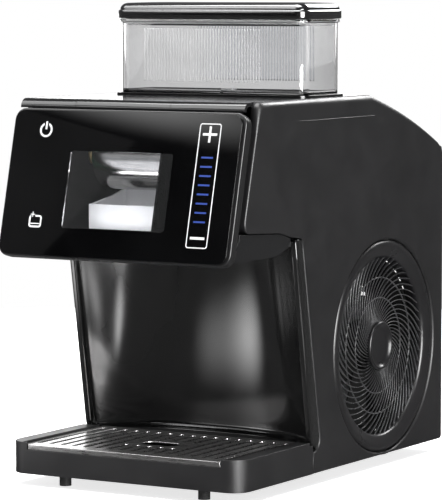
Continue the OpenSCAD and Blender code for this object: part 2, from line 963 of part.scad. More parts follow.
module drip_spreader() {
    y = 94;
    z = 346;
    color([0.85, 0.85, 0.86])
        in_frame()
            difference() {
                bar_x(chamber_x0 + chamber_t, chamber_x1 - chamber_t, 3.9, y, z);
                bar_x(chamber_x0 + 6, chamber_x1 - 6, 2.6, y, z);
                for (i = [-4:4])
                    translate([-12 + i * 9, y, z - 6])
                        cylinder(r = 0.7, h = 6, $fn = 16);
            }
}

// ---------- freezing and shaving ----------

module chamber_outline(inset, front) {
    polygon([
        [panel_y(chamber_floor - chamber_t + inset, front), chamber_floor - chamber_t + inset],
        [panel_y(chamber_top, front), chamber_top + inset],
        [chamber_back - inset, chamber_top + inset],
        [chamber_back - inset, chamber_floor - chamber_t + inset]
    ]);
}

module freezing_chamber() {
    color([0.05, 0.05, 0.055])
        in_frame()
            difference() {
                side_extrude(chamber_x0, chamber_x1)
                    chamber_outline(0, -20);
                side_extrude(chamber_x0 + chamber_t, chamber_x1 - chamber_t)
                    chamber_outline(chamber_t, -10);
                spout_hole(chamber_floor - 5, chamber_floor + 5);
                bar_x(chamber_x0 - 1, chamber_x1 + 1, 10, drum_y, drum_z);
                translate([-12, chamber_back + 1, 347])
                    rotate([90, 0, 0])
                        cylinder(r = 5.5, h = 6);
            }
}

module freezing_drum() {
    x1 = drum_x0 + drum_len;
    color([0.82, 0.83, 0.85])
        in_frame()
            difference() {
                bar_x(drum_x0, x1, drum_r, drum_y, drum_z);
                bar_x(drum_x0 + 3, x1 - 3, drum_r - 3, drum_y, drum_z);
                bar_x(drum_x0 - 1, x1 + 1, shaft_r, drum_y, drum_z);
            }
}

module drum_shaft() {
    color([0.7, 0.7, 0.72])
        in_frame()
            bar_x(-86, gear_x + gear_w + 1, shaft_r, drum_y, drum_z);
}

module drum_bearings() {
    color([0.75, 0.6, 0.3])
        in_frame()
            for (x = [chamber_x0 - 2, chamber_x1 - 4])
                difference() {
                    bar_x(x, x + 6, 10, drum_y, drum_z);
                    bar_x(x - 1, x + 7, shaft_r + 0.05, drum_y, drum_z);
                }
}

module rotary_joint() {
    x0 = -100;
    x1 = -80;
    color([0.78, 0.6, 0.25])
        in_frame()
            difference() {
                block([x0, drum_y - 12, drum_z - 12], [x1, drum_y + 12, drum_z + 12]);
                bar_x(x0 + 8, x1 + 1, shaft_r + 0.05, drum_y, drum_z);
            }
}

module drum_gear() {
    color([0.9, 0.9, 0.88])
        in_frame()
            difference() {
                translate([gear_x, drum_y, drum_z])
                    rotate([90, 0, 90])
                        linear_extrude(gear_w)
                            rotate(180 / gear_teeth)
                                gear_outline(gear_teeth);
                bar_x(gear_x - 1, gear_x + gear_w + 1, shaft_r, drum_y, drum_z);
            }
}

module motor_pinion() {
    color([0.8, 0.65, 0.3])
        in_frame() {
            translate([gear_x, pinion_y, drum_z])
                rotate([90, 0, 90])
                    linear_extrude(gear_w)
                        rotate(180)
                            gear_outline(pinion_teeth);
            bar_x(gear_x + gear_w - 1, gear_x + 30, pinion_shaft_r, pinion_y, drum_z);
        }
}

module motor_bracket() {
    x0 = gear_x + gear_w + 3;
    x1 = x0 + 2.5;
    color([0.6, 0.6, 0.62])
        in_frame()
            difference() {
                union() {
                    block([x0, 88, 286], [x1, 136, 351]);
                    block([chamber_x1, 88, 348.5], [x1, 106, 351]);
                }
                bar_x(x0 - 1, x1 + 1, 8, pinion_y, drum_z);
            }
}

module gear_motor() {
    x0 = gear_x + gear_w + 5.5;
    color([0.5, 0.5, 0.53])
        in_frame()
            difference() {
                union() {
                    bar_x(x0, x0 + 18, 24, pinion_y, drum_z);
                    bar_x(x0 + 17, x0 + 60, 20, pinion_y, drum_z);
                    bar_x(x0 + 59, x0 + 63, 6, pinion_y, drum_z);
                }
                bar_x(x0 - 1, x0 + 20, pinion_shaft_r + 0.05, pinion_y, drum_z);
            }
}

blade_tip = [drum_y + (drum_r + 0.5) * cos(-45), drum_z + (drum_r + 0.5) * sin(-45)];
blade_heel = [106, 282];
blade_side = [blade_tip[1] - blade_heel[1], blade_heel[0] - blade_tip[0]] / norm(blade_tip - blade_heel);

module scraper_blade() {
    color([0.75, 0.76, 0.78])
        in_frame()
            side_extrude(-53, 27)
                polygon([blade_tip, blade_heel, blade_heel - 1.2 * blade_side,
                    blade_tip - 1.2 * blade_side + (blade_heel - blade_tip) * 0.12]);
}

module blade_holder() {
    under = 1.2 * blade_side;
    color([0.6, 0.6, 0.62])
        in_frame()
            side_extrude(-53, 27)
                polygon([
                    blade_heel - under, blade_heel - under + (blade_tip - blade_heel) * 0.5,
                    [99, 276], [99, 272], [chamber_back - chamber_t, 272], [chamber_back - chamber_t, 281]
                ]);
}

chute_x0 = -56;
chute_x1 = 28;
chute_y0 = 29;
chute_y1 = 97;
chute_z = 246.5;

module snow_chute() {
    t = 2;
    color("white")
        in_frame()
            difference() {
                side_extrude(chute_x0, chute_x1)
                    polygon([[chute_y0, chute_z], [chute_y0, 271], [chute_y0 + 3, 271], [70, 277],
                        [chute_y1, 284], [chute_y1, chute_z]]);
                block([chute_x0 + t, chute_y0 + t, chute_z + t], [chute_x1 - t, chute_y1 - t, 300]);
                block([spout_x0 + 2, spout_y0 + 2, chute_z - 1], [spout_x1 - 2, spout_y1 - 2, chute_z + 5]);
                block([chute_x0 - 1, chute_y0 + 6, 283], [chute_x1 + 1, 110, 300]);
            }
}

module outlet_spout() {
    t = 2;
    color([0.08, 0.08, 0.085])
        in_frame()
            difference() {
                block([spout_x0, spout_y0, chin_z + 0.2], [spout_x1, spout_y1, chute_z]);
                block([spout_x0 + t, spout_y0 + t, chin_z - 1], [spout_x1 - t, spout_y1 - t, chute_z + 1]);
            }
}

// ---------- refrigeration and fan ----------

module compressor() {
    z0 = 22;
    z1 = 168;
    color([0.05, 0.05, 0.05])
        in_frame()
            translate([compressor_at[0], compressor_at[1], 0]) {
                rotate_extrude()
                    polygon(concat(
                        [[0, z0], [34, z0]],
                        arc([compressor_r - 16, z0 + 20], 16, -60, 0, 5),
                        [[compressor_r, 90], [compressor_r + 2, 92]],
                        [[compressor_r + 2, 98], [compressor_r, 100]],
                        arc([compressor_r - 34, z1 - 34], 34, 0, 90, 8),
                        [[0, z1]]
                    ));
                translate([-56, -56, 17])
                    difference() {
                        cube([112, 112, 5.5]);
                        for (x = [9, 103], y = [9, 103])
                            translate([x, y, -1])
                                cylinder(r = 4, h = 8);
                    }
            }
}

module compressor_mounts() {
    color([0.1, 0.1, 0.1])
        in_frame()
            for (x = [-47, 47], y = [-47, 47])
                translate([compressor_at[0] + x, compressor_at[1] + y, wall]) {
                    cylinder(r = 8, h = 14);
                    cylinder(r = 3.9, h = 20);
                    translate([0, 0, 19.5])
                        cylinder(r = 6, h = 3);
                }
}

// Finned block with a serpentine of tube bends at its two ends.
module condenser() {
    x0 = 38;
    x1 = 62;
    y0 = 220;
    fin_pitch = 5;
    fin_count = 32;
    z0 = 16;
    z1 = 206;
    tube_rows = 8;
    row_pitch = 22;
    color([0.72, 0.73, 0.75])
        in_frame() {
            for (z = [z0, z1 - 2])
                block([x0, y0, z], [x1, y0 + fin_pitch * fin_count + 1, z + 2]);
            for (i = [0:fin_count])
                block([x0, y0 + i * fin_pitch, z0 + 1], [x1, y0 + i * fin_pitch + 0.8, z1 - 1]);
            for (y = [y0, y0 + fin_pitch * fin_count])
                block([x0, y, wall], [x1, y + 1, z0 + 1]);
        }
    color([0.72, 0.42, 0.25])
        in_frame()
            for (i = [0:tube_rows - 1])
                translate([(x0 + x1) / 2, y0 - 4, z0 + 18 + i * row_pitch])
                    rotate([-90, 0, 0])
                        cylinder(r = 4, h = fin_pitch * fin_count + 9, $fn = 32);
}

// Routes of the refrigerant pipes, as centre lines.
discharge_route = [
    [-62, 262, 120], [-62, 256, 121], [-62, 250, 124], [-60, 246, 130], [-56, 243, 138], [-48, 240, 148],
    [-38, 238, 158], [-26, 236, 166], [-12, 234, 170], [4, 232, 172], [18, 230, 174], [28, 228, 178],
    [33, 227, 184]
];
suction_route = [
    [-92, 262, 110], [-94, 256, 112], [-95, 249, 117], [-94, 243, 126], [-92, 239, 138], [-90, 236, 152],
    [-90, 236, 176], [-90, 236, 204], [-90, 236, 232], [-90, 236, 262], [-90, 233, 280], [-90, 224, 296],
    [-90, 208, 308], [-90, 190, 314], [-90, 168, 316], [-90, 144, 318], [-90, 120, 318], [-90, 100, 318],
    [-90, 79, 318]
];
capillary_route = [
    [-30, 236, 110], [-30, 236, 130], [-30, 236, 160], [-30, 236, 200], [-30, 236, 240], [-30, 236, 268],
    [-34, 232, 284], [-44, 220, 296], [-60, 202, 300], [-78, 180, 302], [-92, 156, 304], [-96, 130, 308],
    [-96, 104, 310], [-96, 79, 311]
];

module refrigerant_pipes() {
    color([0.72, 0.42, 0.25])
        in_frame() {
            swept_tube(discharge_route, 3);
            swept_tube(suction_route, 4);
            swept_tube(capillary_route, 2);
            translate([-30, 236, 40])
                cylinder(r = 9, h = 72);
        }
}

shroud_x = 70;
shroud_r = 89;

module fan_shroud() {
    t = 3;
    color([0.1, 0.1, 0.105])
        in_frame()
            difference() {
                union() {
                    block([shroud_x, fan_y - 86, wall], [shroud_x + t, fan_y + 96, 212]);
                    on_side(shroud_x)
                        cylinder(r = shroud_r + 3, h = 46, $fn = 96);
                }
                difference() {
                    on_side(shroud_x - 1)
                        cylinder(r = shroud_r, h = 60, $fn = 96);
                    on_side(shroud_x - 2)
                        cylinder(r = 27, h = 2 + t);
                    for (a = [0:90:270])
                        on_side(shroud_x - 2)
                            rotate(a + 45)
                                translate([0, -5, 0])
                                    cube([shroud_r + 2, 10, 2 + t]);
                }
            }
}

module fan_motor() {
    x0 = shroud_x + 3;
    color([0.3, 0.3, 0.32])
        in_frame()
            difference() {
                union() {
                    bar_x(x0, x0 + 22, 22, fan_y, fan_z);
                    bar_x(x0 + 21, x0 + 25, 8, fan_y, fan_z);
                }
                bar_x(x0 + 4, x0 + 26, 2.55, fan_y, fan_z);
            }
}

module fan_rotor() {
    x0 = 100;
    hub = 26;
    tip = 84;
    pitch = 28;
    color([0.14, 0.14, 0.15])
        in_frame()
            on_side(x0) {
                difference() {
                    cylinder(r = hub, h = 17);
                    translate([0, 0, -1])
                        cylinder(r = hub - 3, h = 14);
                }
                translate([0, 0, -22])
                    cylinder(r = 2.5, h = 38);
                for (i = [0:blade_count - 1])
                    rotate(i * 360 / blade_count)
                        translate([hub - 1, 0, 8.5])
                            rotate([pitch, 0, 0])
                                linear_extrude(1.6, center = true)
                                    polygon([
                                        [0, -8], [tip - hub, -16], [tip - hub + 1, 0], [tip - hub, 13], [0, 8]
                                    ]);
            }
}

// One vane: a thin spiral wall from the hub to the rim of the opening.
module vane_outline() {
    steps = 8;
    r0 = hub_r - 1;
    r1 = fan_open_r + 1;
    half = 0.75;
    function turn(r) = -vane_sweep * pow((r - r0) / (r1 - r0), 0.85);
    function edge(side) = [
        for (i = [0:steps])
            let (r = r0 + (r1 - r0) * i / steps, a = turn(r) + side * half / r * 57.3 * (1 + 0.5 * i / steps))
                r * [cos(a), sin(a)]
    ];
    low = edge(-1);
    high = edge(1);
    polygon(concat(low, [for (i = [steps:-1:0]) high[i]]));
}

module fan_grille() {
    wire_rings = [50, 71];
    depth = 4;
    vane_back = -11;
    color([0.14, 0.14, 0.145])
        in_frame()
            on_side(half_w) {
                // Dished rim.
                rotate_extrude($fn = 96)
                    polygon([
                        [fan_ring_r, 0], [fan_ring_r, -3.5], [fan_open_r, vane_back],
                        [fan_open_r, vane_back + depth], [fan_ring_r - 3, -1.2], [fan_ring_r - 2, 0]
                    ]);
                translate([0, 0, vane_back])
                    linear_extrude(depth)
                        for (i = [0:vane_count - 1])
                            rotate(i * 360 / vane_count)
                                vane_outline();
                for (r = wire_rings)
                    translate([0, 0, vane_back])
                        difference() {
                            cylinder(r = r + 0.7, h = depth - 1);
                            translate([0, 0, -1])
                                cylinder(r = r - 0.7, h = depth + 2);
                        }
                translate([0, 0, vane_back])
                    cylinder(r = hub_r, h = depth + 0.6);
            }
}

// ---------- electrical ----------

module power_unit() {
    board_z = shelf_z + 10;
    color([0.08, 0.3, 0.16])
        in_frame() {
            block([-112, 290, board_z], [-6, 404, board_z + 1.6]);
            for (x = [-106, -12], y = [296, 398])
                translate([x, y, shelf_z + 2])
                    cylinder(r = 3, h = board_z - shelf_z - 1.5);
        }
    color([0.12, 0.12, 0.13])
        in_frame() {
            block([-104, 300, board_z + 1], [-64, 340, board_z + 30]);
            block([-54, 350, board_z + 1], [-20, 390, board_z + 22]);
            for (i = [0:3])
                translate([-50 + i * 12, 312, board_z + 1])
                    cylinder(r = 5, h = 22);
        }
}

// Three-pin inlet, flush with the back cover.
module power_inlet() {
    depth = 22;
    color([0.06, 0.06, 0.06])
        in_frame()
            translate([inlet_at[0], body_d, inlet_at[1]]) {
                difference() {
                    union() {
                        block([-inlet_size[0] / 2, -depth, -inlet_size[1] / 2],
                            [inlet_size[0] / 2, 0, inlet_size[1] / 2]);
                        block([-19, -depth + 4, -13], [19, -wall - 0.2, 13]);
                    }
                    block([-12, -depth + 2, -8], [12, 1, 8]);
                }
                for (p = [[-7, -2], [7, -2], [0, 3]])
                    block([p[0] - 1, -depth + 1, p[1] - 2], [p[0] + 1, -7, p[1] + 2]);
            }
}

rocker_y = body_d - 9;
rocker_pin_r = 1.6;

module switch_housing() {
    depth = 24;
    color([0.06, 0.06, 0.06])
        in_frame()
            translate([switch_at[0], body_d, switch_at[1]])
                difference() {
                    union() {
                        block([-switch_size[0] / 2, -depth, -switch_size[1] / 2],
                            [switch_size[0] / 2, 0, switch_size[1] / 2]);
                        block([-14, -depth + 6, -18], [14, -wall - 0.2, 18]);
                    }
                    block([-9, -depth + 2, -13], [9, 1, 13]);
                    bar_x(-10.3, 10.3, rocker_pin_r + 0.05, rocker_y - body_d, 0);
                }
}

// Rocker that tips about a pin across its middle. It rests with its upper end pressed in.
module power_rocker() {
    half = 11.6;
    tip = 8;
    color([0.1, 0.1, 0.1])
        in_frame() {
            bar_x(switch_at[0] - 10.1, switch_at[0] + 10.1, rocker_pin_r, rocker_y, switch_at[1]);
            translate([0, rocker_y, switch_at[1]])
                rotate([tip, 0, 0])
                    translate([0, -rocker_y, -switch_at[1]])
                        side_extrude(switch_at[0] - 8.7, switch_at[0] + 8.7)
                            polygon([
                                [rocker_y - 6, switch_at[1] - 4], [rocker_y + 5.4, switch_at[1] - half],
                                [rocker_y + 6.4, switch_at[1] - half], [rocker_y + 4.6, switch_at[1]],
                                [rocker_y + 6.4, switch_at[1] + half], [rocker_y + 5.4, switch_at[1] + half],
                                [rocker_y - 6, switch_at[1] + 4]
                            ]);
        }
}

left_side_panel();
right_side_panel();
rear_cover();
top_cover();
top_flap();
flap_hinge_pin();
chin_shell();
head_frame();
bezel_frame();
glass_panel();
viewing_window();
touch_boards();
key_icons();
speed_slider();
led_bars();
splash_panel();
tray_housing();
base_plate();
chassis_frame();
feet();
foot_screws();
panel_screws();
drip_tray();
drip_grille();
tank();
tank_lid();
lid_seal();
tank_valve();
valve_spring();
tank_seat();
feed_cup();
valve_solenoid();
solenoid_pin();
feed_tube();
drip_spreader();
freezing_chamber();
freezing_drum();
drum_shaft();
drum_bearings();
rotary_joint();
drum_gear();
motor_pinion();
gear_motor();
motor_bracket();
scraper_blade();
blade_holder();
snow_chute();
outlet_spout();
compressor();
compressor_mounts();
condenser();
refrigerant_pipes();
fan_shroud();
fan_motor();
fan_rotor();
fan_grille();
power_unit();
power_inlet();
switch_housing();
power_rocker();
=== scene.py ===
import json
import math

import bmesh
import bpy
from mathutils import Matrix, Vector


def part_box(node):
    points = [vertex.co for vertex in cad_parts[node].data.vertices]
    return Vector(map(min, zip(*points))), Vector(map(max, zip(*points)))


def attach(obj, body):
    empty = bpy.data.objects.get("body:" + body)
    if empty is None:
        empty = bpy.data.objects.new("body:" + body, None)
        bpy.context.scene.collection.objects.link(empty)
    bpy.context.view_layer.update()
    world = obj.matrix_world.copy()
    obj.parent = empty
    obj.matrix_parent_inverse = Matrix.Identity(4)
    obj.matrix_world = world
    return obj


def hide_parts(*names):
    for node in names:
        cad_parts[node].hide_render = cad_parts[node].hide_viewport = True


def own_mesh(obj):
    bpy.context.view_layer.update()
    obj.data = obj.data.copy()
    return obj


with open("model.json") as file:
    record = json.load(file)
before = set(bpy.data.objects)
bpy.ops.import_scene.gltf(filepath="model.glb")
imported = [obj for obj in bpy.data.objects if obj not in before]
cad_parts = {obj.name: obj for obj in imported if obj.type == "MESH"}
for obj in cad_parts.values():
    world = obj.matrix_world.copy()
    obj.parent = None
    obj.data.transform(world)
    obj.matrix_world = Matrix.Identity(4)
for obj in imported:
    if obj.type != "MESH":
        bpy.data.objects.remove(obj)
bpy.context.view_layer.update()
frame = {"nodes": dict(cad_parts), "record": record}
NODES = frame["nodes"]
SCENE = bpy.context.scene
SCENE.view_settings.view_transform = "Standard"
SCENE.view_settings.look = "None"
MM = 0.001
EVEN = (1.0, 1.0, 1.0)


def quarter(steps):
    """Angles from 0 to 90 degrees, both ends included."""
    return [math.radians(90 * k / steps) for k in range(steps + 1)]


def circle(count):
    """Angles once round, without the closing one."""
    return [2 * math.pi * i / count for i in range(count)]


# ---------------------------------------------------------------- camera, floor and light


CAMERA_AT = (1.587315, -2.695279, 0.495721)
CAMERA_TILT, CAMERA_AZIMUTH = 85.084, 30.62
CAMERA_LENS = 218.7


def add_camera():
    data = bpy.data.cameras.new("camera")
    data.lens = CAMERA_LENS
    data.sensor_width = 36.0
    data.clip_end = 40.0
    cam = bpy.data.objects.new("camera", data)
    cam.location = CAMERA_AT
    cam.rotation_euler = (math.radians(CAMERA_TILT), 0.0, math.radians(CAMERA_AZIMUTH))
    SCENE.collection.objects.link(cam)
    SCENE.camera = cam


def area_light(name, place, aim, size, power):
    data = bpy.data.lights.new(name, "AREA")
    data.shape = "RECTANGLE"
    data.size, data.size_y = size
    data.energy = power
    lamp = bpy.data.objects.new(name, data)
    lamp.location = place
    lamp.rotation_euler = (Vector(aim) - Vector(place)).to_track_quat("-Z", "Y").to_euler()
    lamp.visible_camera = False
    SCENE.collection.objects.link(lamp)
    return lamp


def add_world():
    """White behind the object and through clear parts, and a dimmer grey in reflections."""
    world = bpy.data.worlds.new("studio")
    world.use_nodes = True
    SCENE.world = world
    n, link = world.node_tree.nodes, world.node_tree.links.new
    n.clear()
    out, path = n.new("ShaderNodeOutputWorld"), n.new("ShaderNodeLightPath")
    last = n.new("ShaderNodeBackground")
    last.inputs["Color"].default_value = (0.95, 0.95, 1.0, 1.0)
    last.inputs["Strength"].default_value = 0.26
    for ray, strength in (("Is Glossy Ray", 0.13), ("Is Transmission Ray", 0.68), ("Is Camera Ray", 1.0)):
        seen, mix = n.new("ShaderNodeBackground"), n.new("ShaderNodeMixShader")
        seen.inputs["Color"].default_value = (1.0, 1.0, 1.0, 1.0)
        seen.inputs["Strength"].default_value = strength
        link(path.outputs[ray], mix.inputs["Fac"])
        link(last.outputs[0], mix.inputs[1])
        link(seen.outputs[0], mix.inputs[2])
        last = mix
    link(last.outputs[0], out.inputs["Surface"])


def flat_card(name, corners):
    """A card that shows only in reflections, and the node tree of its material."""
    mesh = bpy.data.meshes.new(name)
    mesh.from_pydata([tuple(c) for c in corners], [], [tuple(range(len(corners)))])
    card = bpy.data.objects.new(name, mesh)
    card.visible_camera = card.visible_transmission = card.visible_shadow = card.visible_diffuse = False
    SCENE.collection.objects.link(card)
    mat = bpy.data.materials.new(name)
    mat.use_nodes = True
    mesh.materials.append(mat)
    return card, mat.node_tree


GLASS_LEAN = math.radians(13.8)
GLASS_TOP = (0.0, 12.5, 364.0)
FLAG_EDGE = ((35.0, 0.0), (-76.0, -145.0))
FLAG_REACH, FLAG_WIDTH, FLAG_UP, FLAG_DOWN = 1.3, 1.1, 0.5, 0.35


def add_flag():
    """Black card that the glass panel reflects. Its edge crosses the panel at the two FLAG_EDGE places.

    They are millimetres to the right of GLASS_TOP and up the panel.
    """
    eye = SCENE.camera.location
    out = Vector((0.0, -math.cos(GLASS_LEAN), math.sin(GLASS_LEAN)))
    up = Vector((0.0, math.sin(GLASS_LEAN), math.cos(GLASS_LEAN)))
    top = at(*GLASS_TOP)
    ends = []
    for u, v in FLAG_EDGE:
        p = top + Vector((u * MM, 0, 0)) + up * v * MM
        d = (p - eye).normalized()
        ends.append(p + (d - 2 * d.dot(out) * out) * FLAG_REACH)
    along = (ends[0] - ends[1]).normalized()
    side = along.cross((ends[0] - top).normalized())
    side = side if side.x > 0 else -side
    a, b = ends[0] + along * FLAG_UP, ends[1] - along * FLAG_DOWN
    _, tree = flat_card("black_flag", (a, b, b + side * FLAG_WIDTH, a + side * FLAG_WIDTH))
    p = tree.nodes["Principled BSDF"]
    p.inputs["Base Color"].default_value = (0.0, 0.0, 0.0, 1.0)
    p.inputs["Roughness"].default_value = 1.0
    p.inputs["Specular IOR Level"].default_value = 0.0


MACHINE_MIDDLE = Vector((0.0, -0.02, 0.14))


def add_glow(name, ends, width, strength):
    """Soft-edged bright card between two end points, turned to the machine. Only reflections show it."""
    a, b = (Vector(end) for end in ends)
    middle, along = (a + b) / 2, (b - a) / 2
    towards = MACHINE_MIDDLE - middle
    across = along.cross(towards).normalized() * width / 2
    corners = [middle - across - along, middle + across - along, middle + across + along, middle - across + along]
    card, tree = flat_card(name, corners)
    n, link = tree.nodes, tree.links.new
    n.clear()
    place, grad = n.new("ShaderNodeTexCoord"), n.new("ShaderNodeTexGradient")
    uv = card.data.uv_layers.new(name="uv")
    for loop, value in zip(uv.data, ((-1, -1), (1, -1), (1, 1), (-1, 1))):
        loop.uv = value
    grad.gradient_type = "SPHERICAL"
    link(place.outputs["UV"], grad.inputs["Vector"])
    ease = n.new("ShaderNodeMapRange")
    ease.interpolation_type = "SMOOTHSTEP"
    ease.inputs["To Max"].default_value = strength
    link(grad.outputs["Fac"], ease.inputs["Value"])
    emit, out = n.new("ShaderNodeEmission"), n.new("ShaderNodeOutputMaterial")
    link(ease.outputs["Result"], emit.inputs["Strength"])
    link(emit.outputs[0], out.inputs["Surface"])


def add_floor():
    """Pale paper that glows a little, so that it stays white under the machine."""
    mesh = bpy.data.meshes.new("floor")
    bm = bmesh.new()
    bmesh.ops.create_circle(bm, cap_ends=True, segments=96, radius=1.6)
    bm.to_mesh(mesh)
    bm.free()
    floor = bpy.data.objects.new("floor", mesh)
    SCENE.collection.objects.link(floor)
    mat = bpy.data.materials.new("floor_paper")
    mat.use_nodes = True
    p = mat.node_tree.nodes["Principled BSDF"]
    p.inputs["Base Color"].default_value = (0.9, 0.9, 0.9, 1.0)
    p.inputs["Roughness"].default_value = 0.8
    p.inputs["Emission Color"].default_value = (1.0, 1.0, 1.0, 1.0)
    p.inputs["Emission Strength"].default_value = 0.75
    mesh.materials.append(mat)
    floor.visible_glossy = False


def add_lights():
    room = [
        area_light("overhead", (-0.15, -0.25, 2.1), (0, 0, 0.2), (1.7, 1.2), 75),
        area_light("back_top", (0.15, 1.7, 1.35), (0, 0, 0.38), (1.1, 0.5), 34),
        area_light("back_left", (-0.95, 1.15, 0.28), (0, 0, 0.1), (0.9, 0.36), 4),
        area_light("lamp_window_top", at(-15, 14, 334), at(-15, 40, 262), (0.09, 0.012), 0.03),
        area_light("lamp_window_low", at(-15, 4, 254), at(-15, 60, 300), (0.09, 0.01), 0.021),
    ]
    # These two show in reflections only. They draw the bright lines along rounded edges.
    gloss = [
        area_light("edge_right", (1.15, -0.72, 0.42), (0, 0, 0.25), (0.75, 1.0), 58),
        area_light("brow_left", (-0.47, -0.62, 1.05), (0, -0.05, 0.42), (0.9, 0.5), 8),
    ]
    for lamp in gloss:
        lamp.visible_diffuse = False
    for lamp in room + gloss:
        lamp.visible_transmission = False
    add_glow("glow_left", ((-0.31, -0.38, 0.0), (-0.31, -0.38, 0.16)), 0.27, 9.0)
    add_glow("cove_line", ((-0.78, -0.54, 0.7), (-0.24, -0.98, 0.7)), 0.13, 6.0)
    add_glow("streak_far", ((0.36, -0.11, 0.14), (0.36, -0.40, -0.07)), 0.05, 9.0)
    add_glow("streak_near", ((0.36, -0.39, 0.09), (0.36, -0.62, -0.12)), 0.08, 16.0)


# ---------------------------------------------------------------- materials


# Lighter convex edges: part wear, part painted highlight.
WEAR_AND_SHEEN_RADIUS = 0.0008
WEAR_AND_SHEEN_AMOUNT = 0.6
ACRYLIC_IOR = 1.49


class Look:
    """Builds one procedural material: colour variation, roughness variation, fine bump, and lighter convex edges
    that are part wear and part painted highlight.
    """

    def __init__(self, name, colour, rough, **sockets):
        self.mat = bpy.data.materials.new(name)
        self.mat.use_nodes = True
        self.tree = self.mat.node_tree
        self.p = self.tree.nodes["Principled BSDF"]
        self.place = self.tree.nodes.new("ShaderNodeTexCoord").outputs["Object"]
        self.p.inputs["Base Color"].default_value = (*colour, 1.0)
        self.p.inputs["Roughness"].default_value = rough
        for key, value in sockets.items():
            self.p.inputs[key.replace("_", " ")].default_value = value

    def node(self, kind, **props):
        made = self.tree.nodes.new("ShaderNode" + kind)
        for key, value in props.items():
            setattr(made, key, value)
        return made

    def link(self, a, b):
        self.tree.links.new(a, b)

    def noise(self, scale, detail=3.0, stretch=EVEN):
        place = self.node("Mapping")
        place.inputs["Scale"].default_value = stretch
        self.link(self.place, place.inputs["Vector"])
        n = self.node("TexNoise")
        n.inputs["Scale"].default_value = scale
        n.inputs["Detail"].default_value = detail
        self.link(place.outputs["Vector"], n.inputs["Vector"])
        return n.outputs["Fac"]

    def ranged(self, value, low, high, start=0.3, end=0.7):
        r = self.node("MapRange")
        r.inputs["From Min"].default_value = start
        r.inputs["From Max"].default_value = end
        r.inputs["To Min"].default_value = low
        r.inputs["To Max"].default_value = high
        self.link(value, r.inputs["Value"])
        return r.outputs["Result"]

    def mixed(self, fac, a, b):
        m = self.node("Mix", data_type="RGBA")
        self.link(fac, m.inputs["Factor"])
        for socket, value in ((m.inputs["A"], a), (m.inputs["B"], b)):
            if isinstance(value, tuple):
                socket.default_value = (*value, 1.0)
            else:
                self.link(value, socket)
        return m.outputs["Result"]

    def colour(self, scale, a, b, stretch=EVEN):
        made = self.mixed(self.ranged(self.noise(scale, stretch=stretch), 0.0, 1.0), a, b)
        self.link(made, self.p.inputs["Base Color"])
        self.shade = made
        return self

    def wear_and_sheen(self, colour):
        """Lightens the convex edges, broken up by a noise: partly wear where handling has rubbed them, partly a
        painted highlight along the edges.
        """
        soft = self.node("Bevel", samples=4)
        soft.inputs["Radius"].default_value = WEAR_AND_SHEEN_RADIUS
        true = self.node("NewGeometry").outputs["Normal"]
        dot = self.node("VectorMath", operation="DOT_PRODUCT")
        self.link(soft.outputs["Normal"], dot.inputs[0])
        self.link(true, dot.inputs[1])
        edge = self.ranged(dot.outputs["Value"], WEAR_AND_SHEEN_AMOUNT, 0.0, 0.75, 0.995)
        broken = self.ranged(self.noise(140.0, 5.0), 0.1, 1.0, 0.35, 0.65)
        times = self.node("Math", operation="MULTIPLY")
        self.link(edge, times.inputs[0])
        self.link(broken, times.inputs[1])
        made = self.mixed(times.outputs["Value"], self.shade, colour)
        self.link(made, self.p.inputs["Base Color"])
        return self

    def rough(self, scale, low, high, stretch=EVEN):
        self.link(self.ranged(self.noise(scale, 4.0, stretch), low, high), self.p.inputs["Roughness"])
        return self

    def bump(self, scale, depth, stretch=EVEN):
        b = self.node("Bump")
        b.inputs["Strength"].default_value = 1.0
        b.inputs["Distance"].default_value = depth
        self.link(self.noise(scale, 2.0, stretch), b.inputs["Height"])
        self.link(b.outputs["Normal"], self.p.inputs["Normal"])
        return self


def plastic(name, colour, rough, grain=900.0, depth=0.00002, edge=None, **sockets):
    light = tuple(c * 1.25 + 0.002 for c in colour)
    look = Look(name, colour, rough, **sockets)
    look.colour(9.0, colour, light).rough(35.0, rough * 0.88, rough * 1.12).bump(grain, depth)
    # `edge` is the colour of the lighter convex edges: part wear, part painted highlight.
    if edge:
        look.wear_and_sheen(edge)
    return look.mat


def metal(name, colour, rough, brushed=EVEN):
    """Brushed or cast metal. `brushed` stretches its grain."""
    dark = tuple(c * 0.86 for c in colour)
    look = Look(name, colour, rough, Metallic=1.0)
    look.colour(30.0, dark, colour, brushed).rough(60.0, rough * 0.75, rough * 1.25, brushed)
    look.bump(500.0, 0.00002, brushed)
    return look.mat


def clear(name, colour, rough, rim=None, vary=0.5, weight=1.0, **sockets):
    """Clear plastic. `rim` is a painted shade: the colour that surfaces seen at a low angle are mixed towards, so
    that the edges look darker.
    """
    look = Look(name, colour, rough, Transmission_Weight=weight, IOR=ACRYLIC_IOR, **sockets)
    look.colour(12.0, colour, tuple(min(1.0, c * 1.02) for c in colour))
    if rim:
        # Painted shade: the colour turns towards `rim` where the surface is seen at a low angle.
        facing = look.node("LayerWeight").outputs["Facing"]
        made = look.mixed(look.ranged(facing, 0.0, 1.0, 0.42, 0.74), look.shade, rim)
        look.link(made, look.p.inputs["Base Color"])
    look.rough(25.0, rough * (1 - vary), rough * (1 + vary))
    return look.mat


def glow(name, colour, power):
    look = Look(name, colour, 0.3, Emission_Strength=power)
    look.colour(200.0, tuple(c * 0.9 for c in colour), colour)
    look.link(look.shade, look.p.inputs["Emission Color"])
    return look.mat


